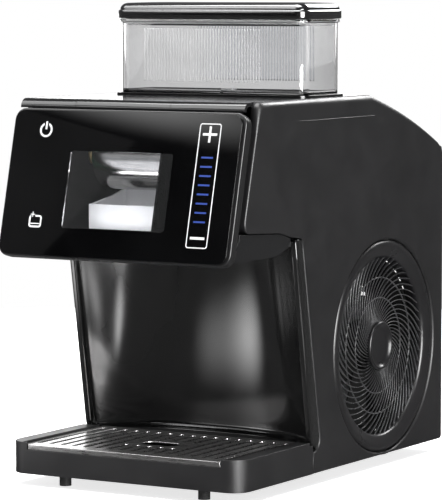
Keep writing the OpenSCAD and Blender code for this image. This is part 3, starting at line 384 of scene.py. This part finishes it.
MATS = {
    # The panel and bezel blacks get lighter convex edges through `edge`: part wear, part painted highlight.
    "panel_black": plastic("panel_black", (0.012, 0.0115, 0.0125), 0.42, edge=(0.05, 0.05, 0.052)),
    "deck_black": plastic("deck_black", (0.009, 0.009, 0.0095), 0.11, 400.0, 0.000002),
    "bay_black": plastic("bay_black", (0.011, 0.011, 0.011), 0.13, 400.0, 0.000003),
    "bezel_black": plastic("bezel_black", (0.012, 0.012, 0.0125), 0.3, edge=(0.06, 0.06, 0.062)),
    "panel_glass": plastic("panel_glass", (0.002, 0.002, 0.0022), 0.03, 60.0, 0.000001),
    "clear_window": clear("clear_window", (0.75, 0.76, 0.78), 0.02),
    "mark_white": plastic("mark_white", (0.85, 0.85, 0.85), 0.5),
    "led_blue": glow("led_blue", (0.02, 0.045, 0.22), 0.9),
    "board_green": plastic("board_green", (0.01, 0.09, 0.035), 0.45),
    "grille_steel": metal("grille_steel", (0.55, 0.54, 0.54), 0.3, (1.0, 12.0, 12.0)),
    "stainless": metal("stainless", (0.62, 0.61, 0.6), 0.13, (1.0, 14.0, 14.0)),
    "zinc_steel": metal("zinc_steel", (0.5, 0.5, 0.52), 0.4),
    "rubber_black": plastic("rubber_black", (0.012, 0.012, 0.012), 0.75, 1500.0, 0.00004),
    # The tank's clear gets a painted shade at its edges through `rim`.
    "clear_plastic": clear("clear_plastic", (0.91, 0.91, 0.915), 0.02, rim=(0.02, 0.02, 0.025)),
    "seal_silicone": plastic("seal_silicone", (0.5, 0.5, 0.5), 0.5),
    "white_plastic": plastic("white_plastic", (0.78, 0.78, 0.79), 0.32),
    "inner_black": plastic("inner_black", (0.01, 0.01, 0.0105), 0.5),
    "fan_black": plastic("fan_black", (0.014, 0.014, 0.015), 0.38),
    "copper": metal("copper", (0.75, 0.36, 0.2), 0.28),
    "brass": metal("brass", (0.75, 0.55, 0.25), 0.3),
    "nylon": plastic("nylon", (0.75, 0.73, 0.66), 0.45),
    "condenser_aluminium": metal("condenser_aluminium", (0.7, 0.7, 0.71), 0.35),
    "compressor_paint": plastic("compressor_paint", (0.012, 0.012, 0.013), 0.35, 250.0, 0.00006),
    "motor_metal": metal("motor_metal", (0.42, 0.42, 0.43), 0.38),
}


# Materials that only some pieces of a slot have. The front flutes glow a little: painted light, for the light that
# real ribs catch.
FLUTE_CLEAR = clear("flute_clear", (0.98, 0.98, 0.985), 0.06, vary=0.1, weight=0.85, Emission_Strength=0.09)
# The back flutes are a darker copy of the same clear: painted shade where the two rows of flutes overlap.
FLUTE_BACK = clear("flute_back", (0.8, 0.82, 0.85), 0.05, vary=0.1)
# The vanes and wires are a lighter copy of the fan's black: painted highlight, so that they read brighter than the
# rest of the moulding.
FAN_VANE = plastic("fan_vane", (0.06, 0.06, 0.062), 0.3, 900.0, 0.00001)
# Near black for inner parts that stand in the shade of an opening: painted shade, not their own colour.
PAINTED_SHADE_BLACK = plastic("painted_shade_black", (0.0025, 0.0025, 0.0025), 0.8, Specular_IOR_Level=0.15)
LID_GLOSS = plastic(
    "lid_gloss", (0.009, 0.009, 0.0095), 0.13, 400.0, 0.000003, Specular_IOR_Level=0.9, Coat_Weight=0.6
)
LIP_GLOSS = plastic("lip_gloss", (0.013, 0.0125, 0.0135), 0.3, 900.0, 0.00001)


SHADOWED = ("fan_rotor", "fan_shroud", "freezing_chamber", "drip_tray")


def dress_nodes():
    """Gives each CAD node the material of its slot, or a painted shade of near black where it stands in the shade
    of an opening.
    """
    for part in frame["record"]["subparts"]:
        ob = NODES[part["node"]]
        ob.data.materials.clear()
        ob.data.materials.append(PAINTED_SHADE_BLACK if part["node"] in SHADOWED else MATS[part["material_slot"]])


# ---------------------------------------------------------------- mesh helpers

# Working axes, as in the CAD source: millimetres from the front and the underside of the base.
ORIGIN = Vector((0.0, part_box("tray_housing")[0].y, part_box("tray_housing")[0].z))


def at(x, y, z):
    return ORIGIN + Vector((x, y, z)) * MM


def box_mm(node):
    """A CAD node's box in the working axes, in millimetres."""
    low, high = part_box(node)
    return (low - ORIGIN) / MM, (high - ORIGIN) / MM


def piece(name, verts, faces, body, slot, replaces=(), mat=None):
    """A new mesh from working-axis points. It is welded, its normals face out, and it rides on a body."""
    mesh = bpy.data.meshes.new(name)
    bm = bmesh.new()
    made = [bm.verts.new(at(*v)) for v in verts]
    for f in faces:
        if len(set(f)) > 2:
            bm.faces.new([made[i] for i in f])
    bmesh.ops.remove_doubles(bm, verts=bm.verts, dist=1e-6)
    bmesh.ops.recalc_face_normals(bm, faces=bm.faces)
    for f in bm.faces:
        f.smooth = True
    bm.to_mesh(mesh)
    bm.free()
    ob = bpy.data.objects.new(name, mesh)
    SCENE.collection.objects.link(ob)
    mesh.materials.append(mat or MATS[slot])
    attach(ob, body)
    if replaces:
        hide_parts(*replaces)
    return ob


def bands(rings, loop=True, ends=True):
    """Faces between rings of equal length, with both end rings closed."""
    n = len(rings[0])
    verts = [p for ring in rings for p in ring]
    faces = []
    for k in range(len(rings) - 1):
        for i in range(n if loop else n - 1):
            j = (i + 1) % n
            faces.append((k * n + i, k * n + j, (k + 1) * n + j, (k + 1) * n + i))
    if ends:
        faces.append(tuple(range(n - 1, -1, -1)))
        faces.append(tuple((len(rings) - 1) * n + i for i in range(n)))
    return verts, faces


def rounded_rect(x0, x1, y0, y1, r, z, n=8):
    """A level ring with rounded corners, n steps to a corner."""
    ring = []
    for cx, cy, a0 in ((x1 - r, y1 - r, 0), (x0 + r, y1 - r, 90), (x0 + r, y0 + r, 180), (x1 - r, y0 + r, 270)):
        for i in range(n + 1):
            a = math.radians(a0 + 90 * i / n)
            ring.append((cx + r * math.cos(a), cy + r * math.sin(a), z))
    return ring


SOFT_EDGES = {
    "chin_shell": 1.6,
    "tray_housing": 1.1,
    "bezel_frame": 1.2,
    "glass_panel": 0.5,
    "top_cover": 0.5,
    "top_flap": 0.5,
    "drip_grille": 0.5,
    "tank_seat": 0.8,
    "drip_tray": 0.6,
    "head_frame": 0.5,
    "snow_chute": 0.6,
    "freezing_chamber": 0.5,
    "feet": 0.6,
    "power_inlet": 0.3,
    "switch_housing": 0.5,
    "power_rocker": 0.4,
    "outlet_spout": 0.5,
}


def soften_node(node, width):
    """Rounds a CAD node's hard edges by a small radius and evens its normals. Its own mesh is left alone."""
    ob = NODES[node]
    weld = ob.modifiers.new("weld", "WELD")
    weld.merge_threshold = 0.00001
    bevel = ob.modifiers.new("edge", "BEVEL")
    bevel.width = width * MM
    bevel.segments = 3
    bevel.limit_method = "ANGLE"
    bevel.angle_limit = math.radians(32.0)
    bevel.miter_outer = "MITER_ARC"
    bevel.use_clamp_overlap = True
    even = ob.modifiers.new("even", "WEIGHTED_NORMAL")
    even.keep_sharp = False


def face_loops(node, x):
    """The border loops of a CAD node's flat face at X = x, as (Y, Z) in the working axes, longest first."""
    bm = bmesh.new()
    bm.from_mesh(NODES[node].data)
    bmesh.ops.remove_doubles(bm, verts=bm.verts, dist=0.00001)
    flat = {f for f in bm.faces if all(abs(v.co.x - x * MM) < 0.00002 for v in f.verts)}
    nexts = {}
    for e in bm.edges:
        if sum(f in flat for f in e.link_faces) == 1:
            a, b = e.verts
            nexts.setdefault(a, []).append(b)
            nexts.setdefault(b, []).append(a)
    loops, seen = [], set()
    for start in nexts:
        if start in seen:
            continue
        loop, last, here = [start], None, start
        seen.add(start)
        while True:
            step = [v for v in nexts[here] if v is not last and v not in seen]
            if not step:
                break
            last, here = here, step[0]
            seen.add(here)
            loop.append(here)
        loops.append([((v.co - ORIGIN) / MM).yz for v in loop])
    bm.free()
    loops.sort(key=lambda pts: -sum((a - b).length for a, b in zip(pts, pts[1:])))
    for loop in loops:
        area = sum(a.x * b.y - b.x * a.y for a, b in zip(loop, loop[1:] + loop[:1]))
        if area < 0:
            loop.reverse()
    return loops


def split_long(loop, step):
    """The loop with extra points, so that no side is longer than `step`."""
    out = []
    for a, b in zip(loop, loop[1:] + loop[:1]):
        n = max(1, math.ceil((b - a).length / step))
        out += [a.lerp(b, i / n) for i in range(n)]
    return out


def inward(loop):
    """The inward offset at each point of a counter-clockwise loop, longer at its corners."""
    out = []
    n = len(loop)
    for i in range(n):
        a, b, c = loop[i - 1], loop[i], loop[(i + 1) % n]
        u, v = (b - a).normalized(), (c - b).normalized()
        m = Vector((-u.y - v.y, u.x + v.x))
        m.normalize()
        out.append(m / max(0.55, m.dot(Vector((-u.y, u.x)))))
    return out


def eased(values, rounds):
    """Values round a loop, each mixed with its two neighbours."""
    n = len(values)
    for _ in range(rounds):
        values = [(values[i - 1] + 2 * values[i] + values[(i + 1) % n]) / 4 for i in range(n)]
    return values


# ---------------------------------------------------------------- side panels


PANEL_WALL = 2.4
PLAIN_ROUND, TOP_ROUND = 1.7, 6.0
HOLE_SIDES, HOLE_ROUND, HOLE_DEPTH = 96, 3.0, 5.0
FOOT_MARGIN = 1.9


def side_shell(node, name, side, hole_r=0.0, fan=(0.0, 0.0)):
    """Moulded side panel: a flat face with a soft top edge, a flange turned in all round, and a fan opening."""
    low, high = box_mm(node)
    face = high.x if side > 0 else -low.x
    root = low.x if side > 0 else -high.x
    loop = split_long(face_loops(node, side * face)[0], 12.0)

    def radius(p):
        """Wide along the top behind the front end, and less towards the back. p is (Y, Z)."""
        if p.y > 306 and p.x > 34:
            return TOP_ROUND - 3.2 * min(1.0, max(0.0, (p.x - 300) / 110))
        return PLAIN_ROUND

    radii = eased([radius(p) for p in loop], 3)
    into = inward(loop)
    rings = []
    for a in quarter(6):
        rings.append(
            [
                (side * (face - r * (1 - math.cos(a))), *(p + m * r * (1 - math.sin(a))))
                for p, m, r in zip(loop, into, radii)
            ]
        )
    rings.append([(side * root, *p) for p in loop])
    verts, faces = bands(rings, ends=False)
    n = len(loop)
    hole = []
    if hole_r:
        start = len(verts)
        around, arcs = circle(HOLE_SIDES), quarter(6)
        # The edge's rounding gets smaller where the opening nears the panel's foot.
        foot = fan[1] - low.z - FOOT_MARGIN
        room = [min(HOLE_ROUND, foot / max(0.01, -math.sin(a)) - hole_r) for a in around]
        for t in arcs:
            for a, e in zip(around, room):
                r = hole_r + e * (1 - math.sin(t))
                x = side * (face - e * (1 - math.cos(t)))
                verts.append((x, fan[0] + r * math.cos(a), fan[1] + r * math.sin(a)))
        for a in around:
            x = side * (face - HOLE_DEPTH)
            verts.append((x, fan[0] + hole_r * math.cos(a), fan[1] + hole_r * math.sin(a)))
        for k in range(len(arcs)):
            for i in range(HOLE_SIDES):
                j = (i + 1) % HOLE_SIDES
                b = start + k * HOLE_SIDES
                faces.append((b + i, b + HOLE_SIDES + i, b + HOLE_SIDES + j, b + j))
        hole = [start + i for i in range(HOLE_SIDES)]
    mesh = bpy.data.meshes.new(name)
    bm = bmesh.new()
    made = [bm.verts.new(at(*v)) for v in verts]
    for f in faces:
        bm.faces.new([made[i] for i in f])
    edges = [bm.edges.get((made[i], made[(i + 1) % n])) for i in range(n)]
    edges += [bm.edges.get((made[a], made[b])) for a, b in zip(hole, hole[1:] + hole[:1])]
    for f in bm.faces:
        f.smooth = True
    for f in bmesh.ops.triangle_fill(bm, edges=edges, use_beauty=True)["geom"]:
        if isinstance(f, bmesh.types.BMFace):
            f.smooth = False
    bmesh.ops.recalc_face_normals(bm, faces=bm.faces)
    flat = [f for f in bm.faces if all(abs(v.co.x - side * face * MM) < 1e-6 for v in f.verts)]
    if side * sum(f.normal.x * f.calc_area() for f in flat) < 0:
        bmesh.ops.reverse_faces(bm, faces=bm.faces)
    bm.to_mesh(mesh)
    bm.free()
    ob = bpy.data.objects.new(name, mesh)
    SCENE.collection.objects.link(ob)
    mesh.materials.append(MATS["panel_black"])
    wall = ob.modifiers.new("wall", "SOLIDIFY")
    wall.thickness = PANEL_WALL * MM
    wall.offset = -1.0
    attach(ob, "housing")
    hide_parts(node)


def panel_seam():
    """Fine raised line near the top edge of the right panel."""
    high = box_mm("right_side_panel")[1]
    x, z, half, rise, root = high.x, high.z - 21.0, 0.5, 0.35, 0.3
    rings = []
    for y, scale in ((111.0, 0.05), (114.0, 1.0), (272.0, 1.0), (275.0, 0.05)):
        arc = [math.radians(180 * i / 6) for i in range(7)]
        rings.append(
            [(x - root + (root + rise) * scale * math.sin(a), y, z - half * scale * math.cos(a)) for a in arc]
        )
    piece("panel_seam", *bands(rings), "housing", "panel_black")


# ---------------------------------------------------------------- splash panel

BAY_HIGH = box_mm("splash_panel")[1]
RIM_Z = BAY_HIGH.z
LEAN = math.tan(math.radians(10.6))
DECK_Z = 29.0
SHEET_HALF = 128.0
RIM_TOP_Y, MIDDLE_DEPTH = 107.5, 34.0


def rim_y(z):
    return RIM_TOP_Y + (RIM_Z - z) * LEAN


def bay_y(x, z):
    """The sheet leans with the rims at its sides and stands upright in its middle."""
    middle = rim_y(DECK_Z) + MIDDLE_DEPTH
    u = min(1.0, abs(x) / SHEET_HALF)
    return rim_y(z) + 3 + (middle - rim_y(z)) * (1 - 0.8 * u**3.2 - 0.2 * u * u)


def bay_sheet():
    """The concave gloss panel, with a cove along its foot."""
    cols, rows, cove = 96, 40, 7.0
    across = [(i / cols * 2 - 1) * (SHEET_HALF + 0.6) for i in range(cols + 1)]
    rings = []
    for k in range(rows + 1):
        z = RIM_Z - 0.4 - (RIM_Z - 0.4 - DECK_Z - cove) * k / rows
        rings.append([(x, bay_y(x, z), z) for x in across])
    z = DECK_Z + cove
    for a in quarter(8)[1:]:
        ring = []
        for x in across:
            n = Vector((bay_y(x + 0.5, z) - bay_y(x - 0.5, z), -1.0)).normalized()
            c = Vector((x, bay_y(x, z))) + n * cove
            p = c - n * cove * math.cos(a)
            ring.append((p.x, p.y, z - cove * math.sin(a)))
        rings.append(ring)
    verts, faces = bands(rings, loop=False, ends=False)
    ob = piece("bay_sheet", verts, faces, "housing", "bay_black", ["splash_panel"])
    wall = ob.modifiers.new("wall", "SOLIDIFY")
    wall.thickness = 2.5 * MM
    wall.offset = 1.0


def bay_rims():
    """The two side rims: plates on the panel's side outline, their long edges fully rounded."""
    radius = 2.2
    for side, name in ((1, "bay_rim_right"), (-1, "bay_rim_left")):
        loop = split_long(face_loops("splash_panel", side * BAY_HIGH.x)[0], 20.0)
        into = inward(loop)
        rings = []
        for x, way in zip(sorted((side * SHEET_HALF, side * BAY_HIGH.x)), (1, -1)):
            rings.reverse()
            for a in quarter(6):
                across, inset = x + way * radius * (1 - math.sin(a)), 1 - math.cos(a)
                rings.append([(across, *(p + m * radius * inset)) for p, m in zip(loop, into)])
        piece(name, *bands(rings), "housing", "bay_black", ["splash_panel"])


# ---------------------------------------------------------------- tank and lid

TANK_LOW, TANK_HIGH = box_mm("tank")
TANK_X = TANK_HIGH.x - 2.0
TANK_Y0, TANK_Y1 = TANK_LOW.y + 2.0, TANK_HIGH.y - 2.0
TANK_Z0, TANK_Z1 = box_mm("tank_seat")[1].z - 1.0, TANK_HIGH.z
TANK_WALL = 3.0
TANK_CORNER, LID_CORNER = 13.0, 12.0


def tank_ring(grow, z):
    """The tank's outline, grown outwards by `grow`."""
    x, r = TANK_X + grow, max(1.0, TANK_CORNER + grow)
    return rounded_rect(-x, x, TANK_Y0 - grow, TANK_Y1 + grow, r, z)


def tank_shell():
    """Clear tank: rounded floor, drawn wall and a rolled rim, with an outlet below."""
    outer_r, inner_r = 3.0, 2.5
    rings = []
    for a in quarter(4):
        rings.append(tank_ring(-outer_r * (1 - math.sin(a)), TANK_Z0 + outer_r * (1 - math.cos(a))))
    rings.append(tank_ring(0.0, TANK_Z1 - 4.2))
    rings += [tank_ring(0.5, TANK_Z1 - 3.4), tank_ring(1.7, TANK_Z1 - 3.0), tank_ring(2.0, TANK_Z1 - 2.4)]
    rings += [tank_ring(2.0, TANK_Z1 - 0.6), tank_ring(1.6, TANK_Z1 - 0.1), tank_ring(1.0, TANK_Z1)]
    rings += [tank_ring(-TANK_WALL + 0.6, TANK_Z1), tank_ring(-TANK_WALL, TANK_Z1 - 0.6)]
    for a in quarter(4):
        grow = -TANK_WALL - inner_r * (1 - math.cos(a))
        rings.append(tank_ring(grow, TANK_Z0 + TANK_WALL + inner_r * (1 - math.sin(a))))
    piece("tank_shell", *bands(rings), "tank_unit", "clear_plastic", ["tank"])
    y, foot = (TANK_Y0 + TANK_Y1) / 2, TANK_LOW.z
    profile = [(9.0, TANK_Z0), (9.0, foot + 1), (8.2, foot), (6.0, foot), (5.0, foot + 1), (5.0, TANK_Z0)]
    rings = [[(r * math.cos(a), y + r * math.sin(a), z) for a in circle(40)] for r, z in profile]
    piece("tank_outlet", *bands(rings + rings[:1], ends=False), "tank_unit", "clear_plastic", ["tank"])


def tank_ribs():
    """Fine upright flutes moulded on the inside of the front and back walls."""
    flutes, pitch, half, rise, n = 41, 3.4, 0.95, 0.8, 6
    z0, z1 = TANK_Z0 + 13.0, TANK_Z1 - 8.0
    walls = (
        ("tank_flutes_front", -78.0, TANK_Y0 + TANK_WALL, 1, FLUTE_CLEAR),
        ("tank_flutes_back", -59.0, TANK_Y1 - TANK_WALL, -1, FLUTE_BACK),
    )
    for name, x0, y, way, mat in walls:
        verts, faces = [], []
        for i in range(flutes):
            x = x0 + pitch * i
            rings = []
            for z, scale in ((z0, 0.15), (z0 + 1.2, 0.8), (z0 + 2.5, 1.0), (z1 - 2.5, 1.0), (z1, 0.15)):
                arc = [math.pi * k / n for k in range(n + 1)]
                rings.append(
                    [(x - half * math.cos(a), y + way * (0.02 + rise * scale * math.sin(a)), z) for a in arc]
                )
            vs, fs = bands(rings)
            faces += [tuple(k + len(verts) for k in f) for f in fs]
            verts += vs
        piece(name, verts, faces, "tank_unit", "clear_plastic", ["tank"], mat)


def lid_shell():
    """Two-tier lid: a band, a cap with a large rounding and a soft crown, and a plug inside the tank."""
    low, high = box_mm("tank_lid")
    x, y0, y1 = high.x, low.y, high.y
    z0, z1, z2 = TANK_Z1 + 0.4, TANK_Z1 + 9.0, high.z

    def ring(inset, z):
        r = max(1.5, LID_CORNER - inset * 0.7)
        return rounded_rect(-x + inset, x - inset, y0 + inset, y1 - inset, r, z, 10)

    plug_in, plug = 9.0, 6.3
    rings = [ring(plug_in, z0 - 6.4), ring(plug_in - 0.6, low.z), ring(plug + 0.6, low.z), ring(plug, low.z + 0.6)]
    rings += [ring(plug, z0 - 0.4), ring(plug - 0.3, z0), ring(1.2, z0), ring(0.35, z0 + 0.3), ring(0.0, z0 + 1.0)]
    rings += [ring(0.0, z1 - 1.2), ring(0.3, z1 - 0.4), ring(0.9, z1)]
    crown, round_in = 0.7, 8.0
    round_z = z2 - crown - (z1 + 1.0)
    rings += [ring(1.5, z1 + 0.1), ring(1.6, z1 + 0.5), ring(1.7, z1 + 1.0)]
    for a in quarter(10)[1:]:
        rings.append(ring(1.7 + round_in * (1 - math.cos(a)), z1 + 1.0 + round_z * math.sin(a)))
    for k in range(1, 6):
        t = k / 6
        rings.append(ring(1.7 + round_in + 28 * t, z2 - crown + crown * math.sin(math.pi / 2 * t)))
    piece("lid_shell", *bands(rings), "lid_unit", "deck_black", ["tank_lid"], LID_GLOSS)


def spring_coil():
    """The valve's spring: a coiled round wire."""
    low, high = box_mm("valve_spring")
    wire, turns, steps = 0.4, 4, 96
    radius, y = (high.x - low.x) / 2 - wire, (low.y + high.y) / 2
    rings = []
    for k in range(steps + 1):
        a = 2 * math.pi * turns * k / steps
        z = low.z + wire + (high.z - low.z - 2 * wire) * k / steps
        ring = []
        for b in circle(8):
            r = radius + wire * math.cos(b)
            ring.append((r * math.cos(a), y + r * math.sin(a), z + wire * math.sin(b)))
        rings.append(ring)
    coil = piece("spring_coil", *bands(rings), "tank_unit", "stainless", ["valve_spring"])
    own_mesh(coil)


# ---------------------------------------------------------------- fan grille

GRILLE_LOW, GRILLE_HIGH = box_mm("fan_grille")
FAN_Y, FAN_Z = (GRILLE_LOW.y + GRILLE_HIGH.y) / 2, (GRILLE_LOW.z + GRILLE_HIGH.z) / 2
FAN_R = (GRILLE_HIGH.y - GRILLE_LOW.y) / 2
OPEN_R, HUB_R = 93.0, 25.0


def turned(name, profile, count, mat, closed=True):
    """A round form about the fan's axis, from a profile of (radius, X) that is a loop or ends at the axis."""
    rings = [[(x, FAN_Y + r * math.cos(a), FAN_Z + r * math.sin(a)) for a in circle(count)] for r, x in profile]
    if closed:
        rings.append(rings[0])
    piece(name, *bands(rings, ends=not closed), "housing", "fan_black", ["fan_grille"], mat)


def fan_lip():
    """The dished lip, with a collar inside that reaches the shroud."""
    face, shoulder, collar = GRILLE_HIGH.x, 6.0, box_mm("fan_shroud")[1].x + 0.2
    lip = [
        (FAN_R - shoulder * (1 - math.cos(a)), face - 0.05 - shoulder * (1 - math.sin(a))) for a in quarter(8)
    ]
    lip += [(FAN_R - 7.4, face - 0.2), (FAN_R - 9.0, face - 0.6), (FAN_R - 11.0, face - 1.4)]
    lip += [(OPEN_R + 4.5, face - 2.6), (OPEN_R + 1.8, face - 3.8), (OPEN_R + 0.3, face - 5.2)]
    lip += [(OPEN_R - 0.4, face - 7.2), (OPEN_R - 0.2, collar + 0.5), (OPEN_R + 0.4, collar)]
    lip += [(OPEN_R + 1.6, collar + 0.2), (OPEN_R + 4.0, face - 9.6), (FAN_R - 4.0, face - 7.8)]
    turned("fan_lip", lip, 128, LIP_GLOSS)


def fan_hub():
    face = GRILLE_HIGH.x
    hub = [(0.01, face - 8.6), (15.5, face - 8.6), (18.4, face - 8.3), (20.4, face - 7.2), (21.8, face - 5.6)]
    hub += [(22.7, face - 4.6), (23.6, face - 4.2), (24.5, face - 4.6), (25.0, face - 5.8), (25.0, face - 10.4)]
    hub += [(24.0, face - 11.0), (0.01, face - 11.0)]
    turned("fan_hub", hub, 72, LIP_GLOSS, closed=False)


def fan_vanes():
    """Curved blades from the hub to the lip. Each tips and gets deeper towards its outer end."""
    face = GRILLE_HIGH.x
    verts, faces = [], []
    count, steps, sweep, nudge = 54, 26, math.radians(70.0), 0.01
    section = ((-1, 0.55), (-0.55, 1), (0.55, 1), (1, 0.55), (1, -0.55), (0.55, -1), (-0.55, -1), (-1, -0.55))
    for v in range(count):
        rings = []
        for k in range(steps + 1):
            t = k / steps
            r = HUB_R - 0.6 + (OPEN_R + 1.0 - HUB_R + 0.6) * t
            turn = -sweep * t**0.85 + 2 * math.pi * v / count
            ahead = -sweep * min(1.0, t + nudge) ** 0.85 + 2 * math.pi * v / count
            r2 = r + (OPEN_R - HUB_R) * nudge
            p = Vector((r * math.cos(turn), r * math.sin(turn)))
            along = (Vector((r2 * math.cos(ahead), r2 * math.sin(ahead))) - p).normalized()
            across = Vector((-along.y, along.x))
            tilt = math.radians(6 + 16 * t**4)
            thick, deep = 0.36 + 0.1 * t, 0.55 + 1.6 * t**7
            rings.append(
                [
                    (
                        face - 8.4 + (d * deep * math.cos(tilt) + w * thick * math.sin(tilt)),
                        FAN_Y + p.x + across.x * (w * thick * math.cos(tilt) - d * deep * math.sin(tilt)),
                        FAN_Z + p.y + across.y * (w * thick * math.cos(tilt) - d * deep * math.sin(tilt)),
                    )
                    for w, d in section
                ]
            )
        vs, fs = bands(rings)
        faces += [tuple(i + len(verts) for i in f) for f in fs]
        verts += vs
    piece("fan_vanes", verts, faces, "housing", "fan_black", ["fan_grille"], FAN_VANE)


def fan_wires():
    """Two wire rings that hold the vanes."""
    wire, depth = 0.7, GRILLE_HIGH.x - 9.0
    for r, name in ((50.0, "fan_wire_inner"), (71.0, "fan_wire_outer")):
        ring = [(r + wire * math.cos(a), depth + wire * math.sin(a)) for a in circle(8)]
        turned(name, ring, 128, FAN_VANE)


# ---------------------------------------------------------------- the scene

add_camera()
add_world()
add_floor()
add_lights()
add_flag()
dress_nodes()
side_shell("right_side_panel", "side_shell_right", 1, FAN_R + 0.35, (FAN_Y, FAN_Z))
side_shell("left_side_panel", "side_shell_left", -1)
panel_seam()
bay_sheet()
bay_rims()
tank_shell()
tank_ribs()
lid_shell()
spring_coil()
fan_lip()
fan_hub()
fan_vanes()
fan_wires()
for node, width in SOFT_EDGES.items():
    soften_node(node, width)
